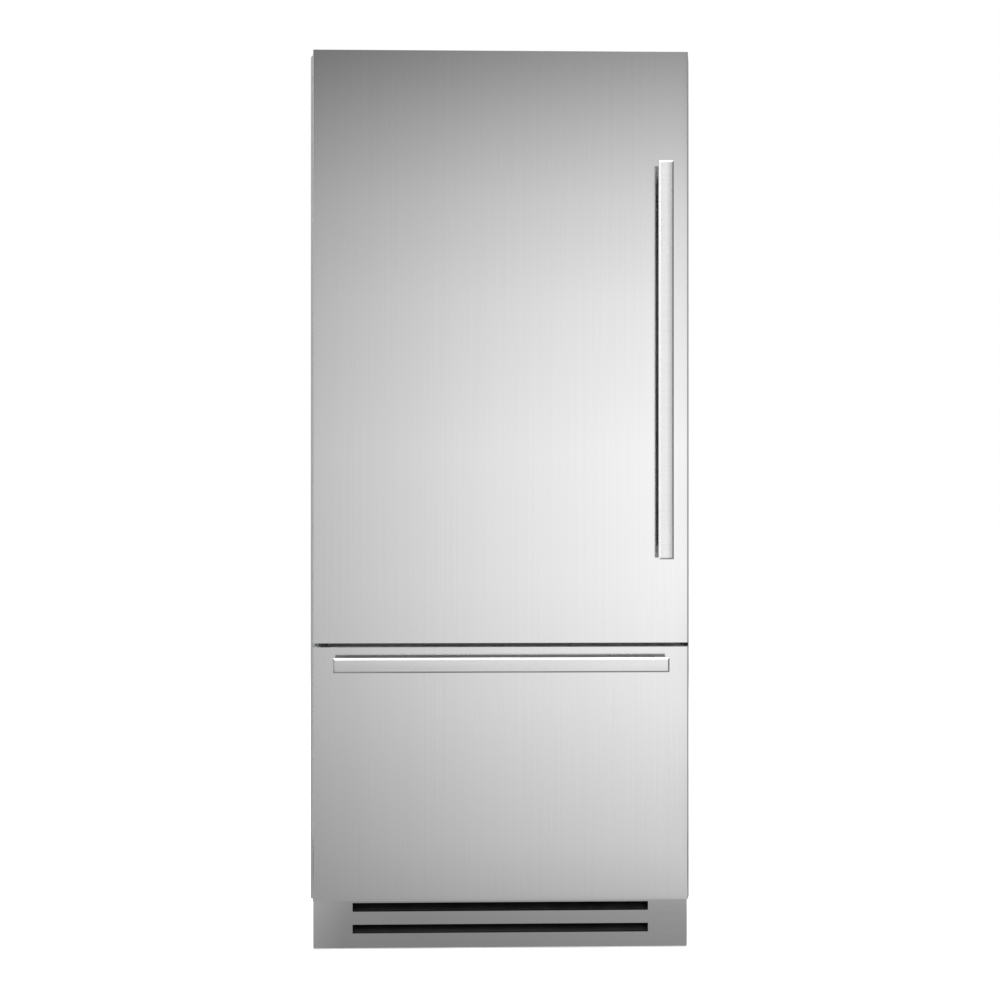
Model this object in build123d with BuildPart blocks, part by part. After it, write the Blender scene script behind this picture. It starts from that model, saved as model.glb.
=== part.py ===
from build123d import *
import os

# A tall built-in refrigerator: one hinged door above a freezer drawer. All sizes are in millimetres.
# The origin is on the floor under the middle of the object, X points right, the front faces -Y, Z is up.

# Overall sizes
CABINET_WIDTH = 914.0
CABINET_DEPTH = 575.0
BODY_HEIGHT = 2150.0  # floor to the top of the cabinet and of the door's sheet
BASE_HEIGHT = 118.0  # floor to the underside of the cabinet
PANEL_REVEAL = 9.0  # cabinet showing beside the fronts
PANEL_GAP = 10.0  # between door and drawer
DRAWER_LIFT = 8.0  # drawer front above the cabinet's underside
DRAWER_HEIGHT = 602.0
DOOR_THICKNESS = 52.0
SEAL_GAP = 13.0  # between the doors' back and the cabinet's front
HANDLE_REACH = 55.0

# Walls, sheets and clearances
STEEL = 1.0
PANEL_SHEET = 1.2
LINER = 2.5
WALL = 56.0
MULLION = 54.0
FLANGE = 50.0  # steel face round the cabinet's mouth
CABINET_FOLD = 6.0
PANEL_FOLD = 3.0
PANEL_HEM = 12.0
LINER_RADIUS = 18.0
FIT = 0.3
RUNNING_FIT = 0.06

# Machine bay at the bottom of the back
BAY_DEPTH = 200.0
BAY_HEIGHT = 200.0  # above the cabinet's underside
REAR_RECESS = 4.0
BEAD_WIDTH = 16.0
BEAD_RISE = 2.0
BEAD_PITCH = 170.0
BEAD_COUNT = 4
BEAD_MARGIN = 150.0

# Base frame, feet and rollers
BASE_INSET = 8.0  # from the cabinet's side to the base's side
RAIL_BOTTOM = 30.0
RAIL_SHEET = 2.0
RAIL_FLANGE = 36.0
FRONT_RAIL = 14.0
TRAY_FRONT_LAP = 20.0
REAR_RAIL = 44.0
ANCHOR_HOLE = 9.0
ANCHOR_SPACING = 600.0
ANCHOR_LIFT = 24.0
FOOT_INSET = 20.0  # from the base's side to the foot's axis
FOOT_SETBACK = 45.0  # behind the cabinet's front
FOOT_PAD = 19.0
FOOT_PAD_HEIGHT = 9.0
FOOT_CHAMFER = 3.0
FOOT_ROD = 6.0
FOOT_ROD_TOP = 66.0
FOOT_HEX = 9.5
FOOT_HEX_HEIGHT = 8.0
NUT_SIZE = 24.0
NUT_HEIGHT = 12.0
ROLLER_RADIUS = 22.0
ROLLER_WIDTH = 16.0
ROLLER_SETBACK = 70.0  # ahead of the cabinet's back
ROLLER_PLAY = 2.0
AXLE_RADIUS = 4.0
EAR_SHEET = 2.5
EAR_LENGTH = 26.0

# Kick plate
KICK_RECESS = 38.0
KICK_FLOOR_GAP = 0.6
KICK_SHEET = 1.2
KICK_ROUND = 1.5
SLOT_MARGIN = 94.0  # from the kick plate's end to a slot
SLOT_HEIGHT = 21.0
SLOT_HEAD = 6.0  # from the kick plate's top to the upper slot
SLOT_PITCH = 52.0
SLOT_LIP = 9.0

# Machinery
COMPRESSOR_INSET = 219.0  # from the base's right side to the compressor's middle
COMPRESSOR_LENGTH = 190.0
COMPRESSOR_WIDTH = 140.0
COMPRESSOR_HEIGHT = 170.0
CAN_CORNER = 60.0
CAN_SHOULDER = 28.0
SEAM_LIFT = 80.0  # from the plate to the seam between the can's halves
SEAM_HEIGHT = 5.0
SEAM_RIM = 3.0
RELAY_WIDTH = 60.0
RELAY_HEIGHT = 64.0
RELAY_DEPTH = 22.0
STUB_RADIUS = 3.0
STUB_PITCH = 46.0
STUBS = 3
STUB_RISE = 16.0
COMPRESSOR_PLATE = 4.0
PLATE_LENGTH = 236.0
PLATE_WIDTH = 120.0
GROMMET_RADIUS = 13.0
GROMMET_HEIGHT = 16.0
GROMMET_SPACING_X = 200.0
GROMMET_SPACING_Y = 86.0
FAN_X = -10.0  # from the object's middle
FAN_RADIUS = 72.0
FAN_HUB = 20.0
FAN_HUB_LENGTH = 24.0
FAN_BLADES = 5
FAN_PITCH = 28.0
BLADE_CHORD = 46.0
BLADE_ROOT = 18.0
BLADE_SHEET = 2.0
BLADE_ROUND = 9.0
SHROUD_SHEET = 3.0
SHROUD_MARGIN = 8.0
SHROUD_LIP = 10.0
SHAFT_RADIUS = 3.0
SHAFT_LENGTH = 22.0
MOTOR_RADIUS = 28.0
MOTOR_LENGTH = 34.0
STRUT_WIDTH = 12.0
STRUTS = 3
FAN_CLEAR = 3.0  # between the blades' sweep and the ring round them
CONDENSER_INSET = 179.0  # from the base's left side to the condenser's middle
CONDENSER_LENGTH = 240.0
CONDENSER_HEIGHT = 190.0
HEADER_RADIUS = 9.0
FLAT_TUBE_DEPTH = 16.0
FLAT_TUBE_HEIGHT = 3.0
FLAT_TUBES = 10
PAN_LENGTH = 290.0
PAN_WIDTH = 150.0
PAN_HEIGHT = 32.0
PAN_WALL = 2.0
PAN_RADIUS = 14.0
COVER_SLOT_LENGTH = 90.0
COVER_SLOT_HEIGHT = 7.0
COVER_SLOT_COLUMNS = 6
COVER_SLOT_ROWS = 7
COVER_SLOT_PITCH_X = 125.0
COVER_SLOT_PITCH_Z = 24.0
EVAPORATOR_SPACE = 62.0
EVAPORATOR_GAP = 24.0  # between the fin pack and the fan
EVAPORATOR_FINS = 28
FIN_SHEET = 1.2
EVAPORATOR_SPINE = 6.0
EVAPORATOR_MARGIN = 50.0
INTAKE_LIFT = 30.0  # from the step's top to the intake slots
COLD_FAN_RADIUS = 52.0
COLD_FAN_DROP = 88.0  # under the freezer's ceiling
GRILLE_SLOT = 8.0
GRILLE_PITCH = 18.0
GRILLE_SLOTS = 5
INTAKE_ROWS = 2

# Refrigerator inside
CRISPER_SPACE = 230.0
TOP_BAY = 318.0  # above the highest shelf's underside
SHELF_COUNT = 4
DOOR_STORE = 150.0  # kept free behind the door for its bins
LEDGE = 12.0
LEDGE_HEIGHT = 16.0
LEDGE_MARGIN = 24.0
SHELF_SIDE_GAP = 1.0
SHELF_RIM = 16.0
SHELF_BORDER = 22.0
SHELF_LIP = 9.0
SHELF_NOSE = 5.0
GLASS = 5.0
DUCT_DEPTH = 26.0
DUCT_WIDTH = 210.0
DUCT_WALL = 2.5
DUCT_ROUND = 8.0
DUCT_VENT_LENGTH = 70.0
DUCT_VENT_HEIGHT = 7.0
DUCT_VENT_PITCH = 16.0
DUCT_VENTS = 3
RUNNER = 5.0
RUNNER_WIDTH = 8.0
RUNNER_SPACING = 200.0
CRISPER_GAP = 6.0
CRISPER_WALL = 2.5
CRISPER_TAPER = 14.0  # each side draws in this much towards the bottom
CRISPER_RADIUS = 16.0
CRISPER_HEADROOM = 14.0
CRISPER_HANDLE = 16.0
CONTROL_WIDTH = 320.0
CONTROL_DEPTH = 120.0
CONTROL_HEIGHT = 24.0
CONTROL_EDGE = 5.0
CONTROL_CORNER = 12.0
LAMP_WIDTH = 220.0
LAMP_DEPTH = 42.0
LAMP_RECESS = 2.0
LAMP_CORNER = 6.0

# Door and drawer fronts
END_CAP = 26.0
HEAD_LIP = 9.0  # the door's sheet stands this far over its end cap and hides the upper hinge
CAP_INSET = 0.6
DIKE_CLEAR = 28.0  # between the ridge of a front's liner and the cavity's wall
DIKE_WIDTH = 28.0
DIKE_DEPTH = 44.0
DIKE_MARGIN = 14.0
DIKE_HEAD = 40.0
DIKE_RADIUS = 26.0
DIKE_INNER_RADIUS = 12.0
DRAWER_DIKE_DEPTH = 12.0
GASKET_WIDTH = 14.0
GASKET_GROOVE = 4.0
BIN_COUNT = 3
BIN_FIRST = 300.0  # above the refrigerator's floor
BIN_HEADROOM = 191.0  # between the top bin and the ridge over it
BIN_DEPTH = 108.0
BIN_HEIGHT = 115.0
BIN_WALL = 2.5
BIN_TAPER = 6.0
BIN_RADIUS = 12.0
BIN_PLAY = 1.0
LUG = 9.0
LUG_HEIGHT = 12.0
LUG_DEPTH = 36.0

# Hinges
HINGE_INSET = 24.0  # from the panel's left edge to the axis
HINGE_SETBACK = 22.0  # behind the door's face
PIN_RADIUS = 6.0
PIN_ENGAGE = 20.0
BUSH_RADIUS = 9.0
BUSH_FLANGE_RADIUS = 11.5
BUSH_FLANGE = 2.4
HINGE_PLATE = 4.0
HINGE_STEP = 3.4  # the upper arm stands this far over the door's end cap
HINGE_ARM = 44.0
HINGE_TAIL = 90.0
HINGE_NOSE = 10.0
LEG_SHEET = 2.5
LEG_WIDTH = 22.0
LEG_HEIGHT = 66.0
HINGE_EDGE = 2.0
HINGE_BOLT = 4.5
BOLT_SPACING_X = 22.0
BOLT_SPACING_Y = 30.0

# Handles
HANDLE_WIDTH = 35.0
HANDLE_BAR = 18.0
HANDLE_BEVEL = 4.0
HANDLE_CROWN = 1.0  # the bar's face swells this far in its middle
HANDLE_BACK_ROUND = 1.5
POST_LENGTH = 28.0
POST_WIDTH = 24.0
POST_INSET = 2.0
POST_ROUND = 3.0
DOOR_HANDLE_LENGTH = 943.0
DOOR_HANDLE_RISE = 201.0  # from the door's bottom to the bar
DOOR_HANDLE_INSET = 58.5  # from the panel's right edge to the bar's middle
DRAWER_HANDLE_MARGIN = 51.5  # from the panel's edge to the bar's end
DRAWER_HANDLE_DROP = 38.0  # from the drawer's top to the bar's middle

# Freezer slides, basket and tray
SLIDE_REAR_GAP = 6.5  # from the slides' end to the evaporator's cover
SLIDE_SETBACK = 8.0
SLIDE_DEPTH = 16.0
SLIDE_HEIGHT = 48.0
SLIDE_SHEET = 1.5
SLIDE_PLAY = 0.4
SLIDE_LIP = 7.0
SLIDE_FOLD = 1.8
SLIDE_RISE = 306.0  # from the freezer's floor to the slide's middle
CARRIER_SHEET = 2.5
CARRIER_DROP = 10.0
CARRIER_LEDGE = 10.0
CARRIER_FLANGE = 16.0
BASKET_CLEAR = 14.0
BASKET_WALL = 3.0
BASKET_TAPER = 10.0
BASKET_RADIUS = 18.0
BASKET_RIM = 3.5
BASKET_RIM_GAP = 3.0
WINDOW_WIDTH = 46.0
WINDOW_HEIGHT = 70.0
WINDOW_PITCH = 66.0
WINDOW_ROWS = 2
WINDOW_SILL = 52.0  # height of the wall that the rows leave
TRAY_DEPTH = 290.0
TRAY_HEIGHT = 72.0
TRAY_WALL = 2.5
TRAY_TAPER = 6.0
TRAY_RADIUS = 16.0
TRAY_SETBACK = 8.0

SIDES = (-1, 1)

# Places that follow from the sizes
HALF_WIDTH = CABINET_WIDTH / 2
HALF_PANEL = HALF_WIDTH - PANEL_REVEAL
HALF_BASE = HALF_WIDTH - BASE_INSET
TOTAL_DEPTH = HANDLE_REACH + DOOR_THICKNESS + SEAL_GAP + CABINET_DEPTH
FRONT = HANDLE_REACH - TOTAL_DEPTH / 2
DOOR_BACK = FRONT + DOOR_THICKNESS
CAB_FRONT = DOOR_BACK + SEAL_GAP
CAB_BACK = CAB_FRONT + CABINET_DEPTH
DRAWER_BASE = BASE_HEIGHT + DRAWER_LIFT
DRAWER_TOP = DRAWER_BASE + DRAWER_HEIGHT
DOOR_BASE = DRAWER_TOP + PANEL_GAP
GAP_Z = DRAWER_TOP + PANEL_GAP / 2
CAVITY_X = HALF_WIDTH - WALL
CAVITY_BACK = CAB_BACK - WALL
FLANGE_X = HALF_WIDTH - FLANGE
FRIDGE_FLOOR = GAP_Z + MULLION / 2
FRIDGE_CEILING = BODY_HEIGHT - WALL
FREEZER_FLOOR = BASE_HEIGHT + WALL
FREEZER_CEILING = GAP_Z - MULLION / 2
LINER_FRONT = CAB_FRONT + STEEL
FOAM_FRONT = LINER_FRONT + LINER
REAR_FACE = CAB_BACK - REAR_RECESS
FOAM_BACK = REAR_FACE - STEEL
BAY_FRONT = CAB_BACK - BAY_DEPTH
BAY_TOP = BASE_HEIGHT + BAY_HEIGHT
STEP_FRONT = BAY_FRONT - WALL
STEP_TOP = BAY_TOP + WALL
SHELF_FRONT = DOOR_BACK + DOOR_STORE
SHELF_BACK = CAVITY_BACK - DUCT_DEPTH - FIT
FIRST_SHELF = FRIDGE_FLOOR + CRISPER_SPACE
SHELF_PITCH = (FRIDGE_CEILING - TOP_BAY - FIRST_SHELF) / (SHELF_COUNT - 1)
SHELF_LEVELS = [FIRST_SHELF + SHELF_PITCH * i for i in range(SHELF_COUNT)]
CRISPER_WIDTH = (2 * CAVITY_X - 3 * CRISPER_GAP) / 2
CRISPER_X = (CRISPER_WIDTH + CRISPER_GAP) / 2
HINGE_X = HINGE_INSET - HALF_PANEL
HINGE_Y = FRONT + HINGE_SETBACK
DOOR_HEAD = BODY_HEIGHT - HEAD_LIP
DIKE_OUT = CAVITY_X - DIKE_CLEAR
DIKE_IN = DIKE_OUT - DIKE_WIDTH


def save(piece, name):
    """Name a finished piece and write it to its own file."""
    piece.part.label = name
    export_step(piece.part, f"parts/{name}.step")


def upright(y):
    """The upright plane across the object at a depth, facing the front."""
    return Plane.XZ.offset(-y)


def block(x, y, z, mode=Mode.ADD):
    """A rectangular block between two limits on each axis."""
    with Locations((sum(x) / 2, sum(y) / 2, sum(z) / 2)):
        Box(x[1] - x[0], y[1] - y[0], z[1] - z[0], mode=mode)


def bent_sheet(plane, points, sheet, length, fold, mode=Mode.ADD):
    """A sheet folded along a line of points and drawn out square to the plane.

    A positive thickness lies on the line's left, a negative one on its right.
    """
    with BuildSketch(plane) as section:
        with BuildLine():
            FilletPolyline(points, radius=fold)
            offset(amount=abs(sheet), side=Side.LEFT if sheet > 0 else Side.RIGHT)
        make_face()
    extrude(section.sketch, amount=length, mode=mode)


def tub(centre, top, bottom, levels, radius, wall):
    """An open tub with drawn-in sides: a loft between two rounded rectangles, hollowed by a wall."""
    for inset, low, mode in ((0, levels[0], Mode.ADD), (wall, levels[0] + wall, Mode.SUBTRACT)):
        sections = []
        for size, level in ((bottom, low), (top, levels[1])):
            with BuildSketch(Plane.XY.offset(level)) as section:
                with Locations(centre):
                    RectangleRounded(size[0] - 2 * inset, size[1] - 2 * inset, radius - inset)
            sections.append(section.sketch)
        loft(sections, mode=mode)


def cabinet_section(y, inset, bottom):
    """The cabinet's outline seen from the front, drawn in by a sheet, with its top corners folded."""
    height = BODY_HEIGHT - inset - bottom
    with BuildSketch(upright(y)) as outline:
        with Locations((0, bottom + height / 2)):
            Rectangle(CABINET_WIDTH - 2 * inset, height)
        fillet(outline.vertices().group_by(Axis.Y)[-1], radius=CABINET_FOLD - inset)
    return outline.sketch


def fridge_cavity(grow, mode):
    """The refrigerator's hollow, grown by a wall, open at the front."""
    depth = CAVITY_BACK + grow - LINER_FRONT
    with BuildSketch(Plane.XY.offset(FRIDGE_FLOOR - grow)) as plan:
        with Locations((0, LINER_FRONT + depth / 2)):
            Rectangle(2 * (CAVITY_X + grow), depth)
        fillet(plan.vertices().group_by(Axis.Y)[-1], radius=LINER_RADIUS + grow)
    extrude(plan.sketch, amount=FRIDGE_CEILING - FRIDGE_FLOOR + 2 * grow, mode=mode)


def freezer_cavity(grow, mode):
    """The freezer's hollow, grown by a wall, with the step over the machine bay."""
    floor = FREEZER_FLOOR - grow
    ceiling = FREEZER_CEILING + grow
    step = (STEP_FRONT + grow, STEP_TOP - grow)
    back = CAVITY_BACK + grow
    inner = LINER_RADIUS + grow
    outer = LINER_RADIUS - grow
    corners = [(LINER_FRONT, floor), (step[0], floor), step, (back, step[1]), (back, ceiling),
               (LINER_FRONT, ceiling)]
    with BuildSketch(Plane.YZ.offset(-CAVITY_X - grow)) as side_view:
        with BuildLine():
            FilletPolyline(corners, radius=[0, inner, outer, inner, inner, 0], close=True)
        make_face()
    extrude(side_view.sketch, amount=2 * (CAVITY_X + grow), mode=mode)


os.makedirs("parts", exist_ok=True)

# Cabinet shell: one sheet folded over both sides and the top, turned in round the mouth
with BuildPart() as cabinet_wrapper:
    extrude(cabinet_section(CAB_BACK, 0, BASE_HEIGHT), amount=CABINET_DEPTH)
    hollow = cabinet_section(CAB_BACK, STEEL, BASE_HEIGHT)
    extrude(hollow, amount=CABINET_DEPTH - STEEL, mode=Mode.SUBTRACT)
    block((-FLANGE_X, FLANGE_X), (CAB_FRONT, LINER_FRONT), (BASE_HEIGHT, BODY_HEIGHT - FLANGE),
          Mode.SUBTRACT)
save(cabinet_wrapper, "cabinet_wrapper")

# Back sheet with pressed upright beads
with BuildPart() as rear_panel:
    extrude(cabinet_section(REAR_FACE, STEEL, BAY_TOP), amount=STEEL)
    bead_length = BODY_HEIGHT - BAY_TOP - 2 * BEAD_MARGIN
    with BuildSketch(upright(REAR_FACE + BEAD_RISE)):
        with Locations((0, (BODY_HEIGHT + BAY_TOP) / 2)):
            with GridLocations(BEAD_PITCH, 0, BEAD_COUNT, 1):
                SlotOverall(bead_length, BEAD_WIDTH, rotation=90)
    extrude(amount=BEAD_RISE)
save(rear_panel, "rear_panel")

# Floor sheet: turned up at the front, folded over the machine bay at the back
with BuildPart() as cabinet_floor:
    half = HALF_WIDTH - STEEL
    floor_line = [(FOAM_BACK, BAY_TOP), (BAY_FRONT, BAY_TOP), (BAY_FRONT, BASE_HEIGHT),
                  (CAB_FRONT, BASE_HEIGHT), (CAB_FRONT, BASE_HEIGHT + FLANGE)]
    bent_sheet(Plane.YZ.offset(-half), floor_line, -STEEL, 2 * half, 0)
    for side in SIDES:
        corner = sorted((side * FLANGE_X, side * HALF_WIDTH))
        block(corner, (CAB_FRONT, LINER_FRONT), (BASE_HEIGHT, BASE_HEIGHT + FLANGE), Mode.SUBTRACT)
save(cabinet_floor, "cabinet_floor")

# Foam between the sheets and the liners, with a block of its own between the two compartments
with BuildPart() as cabinet_insulation:
    extrude(cabinet_section(FOAM_BACK, STEEL, BASE_HEIGHT + STEEL), amount=FOAM_BACK - FOAM_FRONT)
    fridge_cavity(LINER, Mode.SUBTRACT)
    freezer_cavity(LINER, Mode.SUBTRACT)
    block((-HALF_WIDTH, HALF_WIDTH), (BAY_FRONT - STEEL, CAB_BACK), (BASE_HEIGHT, BAY_TOP + STEEL),
          Mode.SUBTRACT)
    for seam in (FREEZER_CEILING + LINER, FRIDGE_FLOOR - LINER - FIT):
        block((-HALF_WIDTH, HALF_WIDTH), (FOAM_FRONT, FOAM_BACK), (seam, seam + FIT), Mode.SUBTRACT)
save(cabinet_insulation, "cabinet_insulation")

# Refrigerator liner with moulded shelf ledges and crisper runners
with BuildPart() as fridge_liner:
    extrude(cabinet_section(FOAM_FRONT, STEEL, GAP_Z), amount=LINER)
    fridge_cavity(LINER, Mode.ADD)
    fridge_cavity(0, Mode.SUBTRACT)
    ledge_length = SHELF_BACK - SHELF_FRONT - 2 * LEDGE_MARGIN
    for level in SHELF_LEVELS:
        for side in SIDES:
            wall = side * CAVITY_X
            with BuildSketch(upright(SHELF_BACK - LEDGE_MARGIN)) as ledge:
                with BuildLine():
                    Polyline((wall, level), (wall - side * LEDGE, level), (wall, level - LEDGE_HEIGHT),
                             close=True)
                make_face()
            extrude(ledge.sketch, amount=ledge_length)
    runner_depth = SHELF_BACK - SHELF_FRONT
    with Locations((0, SHELF_FRONT + runner_depth / 2, FRIDGE_FLOOR + RUNNER / 2)):
        with GridLocations(2 * CRISPER_X, 0, 2, 1):
            with GridLocations(RUNNER_SPACING, 0, 2, 1):
                Box(RUNNER_WIDTH, runner_depth, RUNNER)
save(fridge_liner, "fridge_liner")

# Freezer liner, stepped over the machine bay
with BuildPart() as freezer_liner:
    half = HALF_WIDTH - STEEL
    block((-half, half), (LINER_FRONT, FOAM_FRONT), (BASE_HEIGHT + STEEL, GAP_Z))
    freezer_cavity(LINER, Mode.ADD)
    freezer_cavity(0, Mode.SUBTRACT)
save(freezer_liner, "freezer_liner")

# Steel strip across the cabinet's mouth between the two compartments
with BuildPart() as mullion_trim:
    with BuildSketch(upright(LINER_FRONT)):
        with Locations((0, GAP_Z)):
            Rectangle(2 * FLANGE_X, FLANGE)
    extrude(amount=STEEL)
save(mullion_trim, "mullion_trim")

# Base frame: two side channels, a front rail, and a rear tray turned up at the back for the anchor bolts
BASE_BACK = REAR_FACE - STEEL
TRAY_TOP = RAIL_BOTTOM + RAIL_SHEET
FOOT_Y = CAB_FRONT + FOOT_SETBACK
WHEEL_X = HALF_BASE - FOOT_INSET
WHEEL_Y = CAB_BACK - ROLLER_SETBACK
EAR_GAP = ROLLER_WIDTH / 2 + ROLLER_PLAY
with BuildPart() as base_frame:
    for side in SIDES:
        web = side * HALF_BASE
        rim = side * (HALF_BASE - RAIL_FLANGE)
        channel = [(rim, BASE_HEIGHT), (web, BASE_HEIGHT), (web, RAIL_BOTTOM), (rim, RAIL_BOTTOM)]
        bent_sheet(upright(BASE_BACK), channel, -side * RAIL_SHEET, BASE_BACK - CAB_FRONT, RAIL_SHEET * 2)
    inner_half = HALF_BASE - RAIL_FLANGE + FIT
    front_rail = [(CAB_FRONT + RAIL_FLANGE, RAIL_BOTTOM), (CAB_FRONT, RAIL_BOTTOM),
                  (CAB_FRONT, RAIL_BOTTOM + FRONT_RAIL)]
    bent_sheet(Plane.YZ.offset(-inner_half), front_rail, -RAIL_SHEET, 2 * inner_half, RAIL_SHEET)
    tray = [(BAY_FRONT - TRAY_FRONT_LAP, RAIL_BOTTOM), (BASE_BACK, RAIL_BOTTOM),
            (BASE_BACK, RAIL_BOTTOM + REAR_RAIL)]
    bent_sheet(Plane.YZ.offset(-inner_half), tray, RAIL_SHEET, 2 * inner_half, RAIL_SHEET)
    with BuildSketch(upright(BASE_BACK)):
        with Locations((0, RAIL_BOTTOM + ANCHOR_LIFT)):
            with GridLocations(ANCHOR_SPACING, 0, 2, 1):
                Circle(ANCHOR_HOLE / 2)
    extrude(amount=RAIL_SHEET * 2, mode=Mode.SUBTRACT)
    for side in SIDES:
        foot_x = side * WHEEL_X
        block((foot_x - NUT_SIZE / 2, foot_x + NUT_SIZE / 2), (FOOT_Y - NUT_SIZE / 2, FOOT_Y + NUT_SIZE / 2),
              (TRAY_TOP, TRAY_TOP + NUT_HEIGHT))
        with Locations((foot_x, FOOT_Y, TRAY_TOP)):
            Cylinder(FOOT_ROD + RUNNING_FIT, 2 * (NUT_HEIGHT + RAIL_SHEET), mode=Mode.SUBTRACT)
        window = ROLLER_RADIUS + ROLLER_PLAY
        block((foot_x - EAR_GAP, foot_x + EAR_GAP), (WHEEL_Y - window, WHEEL_Y + window),
              (0, 2 * window), Mode.SUBTRACT)
        for ear in SIDES:
            with BuildSketch(Plane.YZ.offset(foot_x + ear * (EAR_GAP + EAR_SHEET / 2))) as ear_plate:
                with Locations((WHEEL_Y, ROLLER_RADIUS)):
                    Circle(EAR_LENGTH / 2)
                with Locations((WHEEL_Y, (ROLLER_RADIUS + TRAY_TOP) / 2)):
                    Rectangle(EAR_LENGTH, TRAY_TOP - ROLLER_RADIUS)
            extrude(ear_plate.sketch, amount=EAR_SHEET / 2, both=True)
        with Locations((foot_x, WHEEL_Y, ROLLER_RADIUS)):
            Cylinder(AXLE_RADIUS, 2 * (EAR_GAP + EAR_SHEET), rotation=(0, 90, 0))
save(base_frame, "base_frame")

# Kick plate: a shallow tray turned back on all sides, with two slots whose edges are lipped inwards
KICK_FRONT = FRONT + KICK_RECESS
with BuildPart() as kick_plate:
    kick_height = BASE_HEIGHT - KICK_FLOOR_GAP
    kick_middle = KICK_FLOOR_GAP + kick_height / 2
    slot_length = 2 * (HALF_BASE - SLOT_MARGIN)
    upper_middle = BASE_HEIGHT - SLOT_HEAD - SLOT_HEIGHT / 2
    slot_middles = (upper_middle - SLOT_PITCH, upper_middle)
    with BuildSketch(upright(CAB_FRONT)):
        with Locations((0, kick_middle)):
            Rectangle(2 * HALF_BASE, kick_height)
    extrude(amount=CAB_FRONT - KICK_FRONT)
    front_edges = kick_plate.faces().sort_by(Axis.Y)[0].edges()
    fillet(front_edges, radius=KICK_ROUND)
    block((KICK_SHEET - HALF_BASE, HALF_BASE - KICK_SHEET), (KICK_FRONT + KICK_SHEET, CAB_FRONT),
          (KICK_FLOOR_GAP + KICK_SHEET, BASE_HEIGHT - KICK_SHEET), Mode.SUBTRACT)
    with BuildSketch(upright(KICK_FRONT + SLOT_LIP)):
        for middle in slot_middles:
            with Locations((0, middle)):
                Rectangle(slot_length + 2 * KICK_SHEET, SLOT_HEIGHT + 2 * KICK_SHEET)
    extrude(amount=SLOT_LIP - KICK_SHEET)
    with BuildSketch(upright(CAB_FRONT)):
        for middle in slot_middles:
            with Locations((0, middle)):
                Rectangle(slot_length, SLOT_HEIGHT)
    extrude(amount=CAB_FRONT - KICK_FRONT, mode=Mode.SUBTRACT)
save(kick_plate, "kick_plate")


# Levelling feet: a round pad, a hexagon for the spanner and the rod that screws into the base
def levelling_foot(side):
    """One foot standing on the floor under the base frame's front corner."""
    middle = (side * WHEEL_X, FOOT_Y)
    with BuildPart() as foot:
        for profile, start, stop in (("pad", 0, FOOT_PAD_HEIGHT),
                                     ("hexagon", FOOT_PAD_HEIGHT, FOOT_PAD_HEIGHT + FOOT_HEX_HEIGHT),
                                     ("rod", FOOT_PAD_HEIGHT, FOOT_ROD_TOP)):
            with BuildSketch(Plane.XY.offset(start)):
                with Locations(middle):
                    if profile == "hexagon":
                        RegularPolygon(FOOT_HEX, 6)
                    else:
                        Circle(FOOT_PAD if profile == "pad" else FOOT_ROD)
            extrude(amount=stop - start)
        pad_rim = foot.edges().filter_by(GeomType.CIRCLE).sort_by(SortBy.RADIUS)[-2:]
        chamfer(pad_rim.sort_by(Axis.Z)[-1], length=FOOT_CHAMFER)
    return foot


def rear_roller(side):
    """One nylon wheel on its axle under the base frame's rear corner."""
    with BuildPart() as roller:
        with BuildSketch(Plane.YZ.offset(side * WHEEL_X)):
            with Locations((WHEEL_Y, ROLLER_RADIUS)):
                Circle(ROLLER_RADIUS)
                Circle(AXLE_RADIUS + RUNNING_FIT, mode=Mode.SUBTRACT)
        extrude(amount=ROLLER_WIDTH / 2, both=True)
    return roller


for side, name in zip(SIDES, ("left", "right")):
    save(levelling_foot(side), f"foot_{name}")
    save(rear_roller(side), f"roller_{name}")

# Compressor: a can drawn in two halves and welded at a seam, on its plate, with relay box and pipe stubs
COMPRESSOR_X = HALF_BASE - COMPRESSOR_INSET
COMPRESSOR_Y = (BAY_FRONT + REAR_FACE) / 2
PLATE_Z = TRAY_TOP + GROMMET_HEIGHT
CAN_BASE = PLATE_Z + COMPRESSOR_PLATE
CAN_TOP = CAN_BASE + COMPRESSOR_HEIGHT
with BuildPart() as compressor:
    with BuildSketch(Plane.XY.offset(CAN_BASE)):
        with Locations((COMPRESSOR_X, COMPRESSOR_Y)):
            RectangleRounded(COMPRESSOR_LENGTH, COMPRESSOR_WIDTH, CAN_CORNER)
    extrude(amount=COMPRESSOR_HEIGHT)
    chamfer(compressor.faces().sort_by(Axis.Z)[-1].edges(), length=CAN_SHOULDER)
    with BuildSketch(Plane.XY.offset(CAN_BASE + SEAM_LIFT)):
        with Locations((COMPRESSOR_X, COMPRESSOR_Y)):
            RectangleRounded(COMPRESSOR_LENGTH + 2 * SEAM_RIM, COMPRESSOR_WIDTH + 2 * SEAM_RIM,
                             CAN_CORNER + SEAM_RIM)
    extrude(amount=SEAM_HEIGHT)
    with BuildSketch(Plane.XY.offset(PLATE_Z)):
        with Locations((COMPRESSOR_X, COMPRESSOR_Y)):
            Rectangle(PLATE_LENGTH, PLATE_WIDTH)
    extrude(amount=COMPRESSOR_PLATE)
    relay_x = COMPRESSOR_X + COMPRESSOR_LENGTH / 2
    with Locations((relay_x, COMPRESSOR_Y, CAN_BASE + SEAM_LIFT / 2)):
        Box(2 * RELAY_DEPTH, RELAY_WIDTH, RELAY_HEIGHT)
    with BuildSketch(Plane.XY.offset(CAN_TOP - CAN_SHOULDER)):
        with Locations((COMPRESSOR_X, COMPRESSOR_Y)):
            with GridLocations(STUB_PITCH, 0, STUBS, 1):
                Circle(STUB_RADIUS)
    extrude(amount=CAN_SHOULDER + STUB_RISE)
save(compressor, "compressor")

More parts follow.
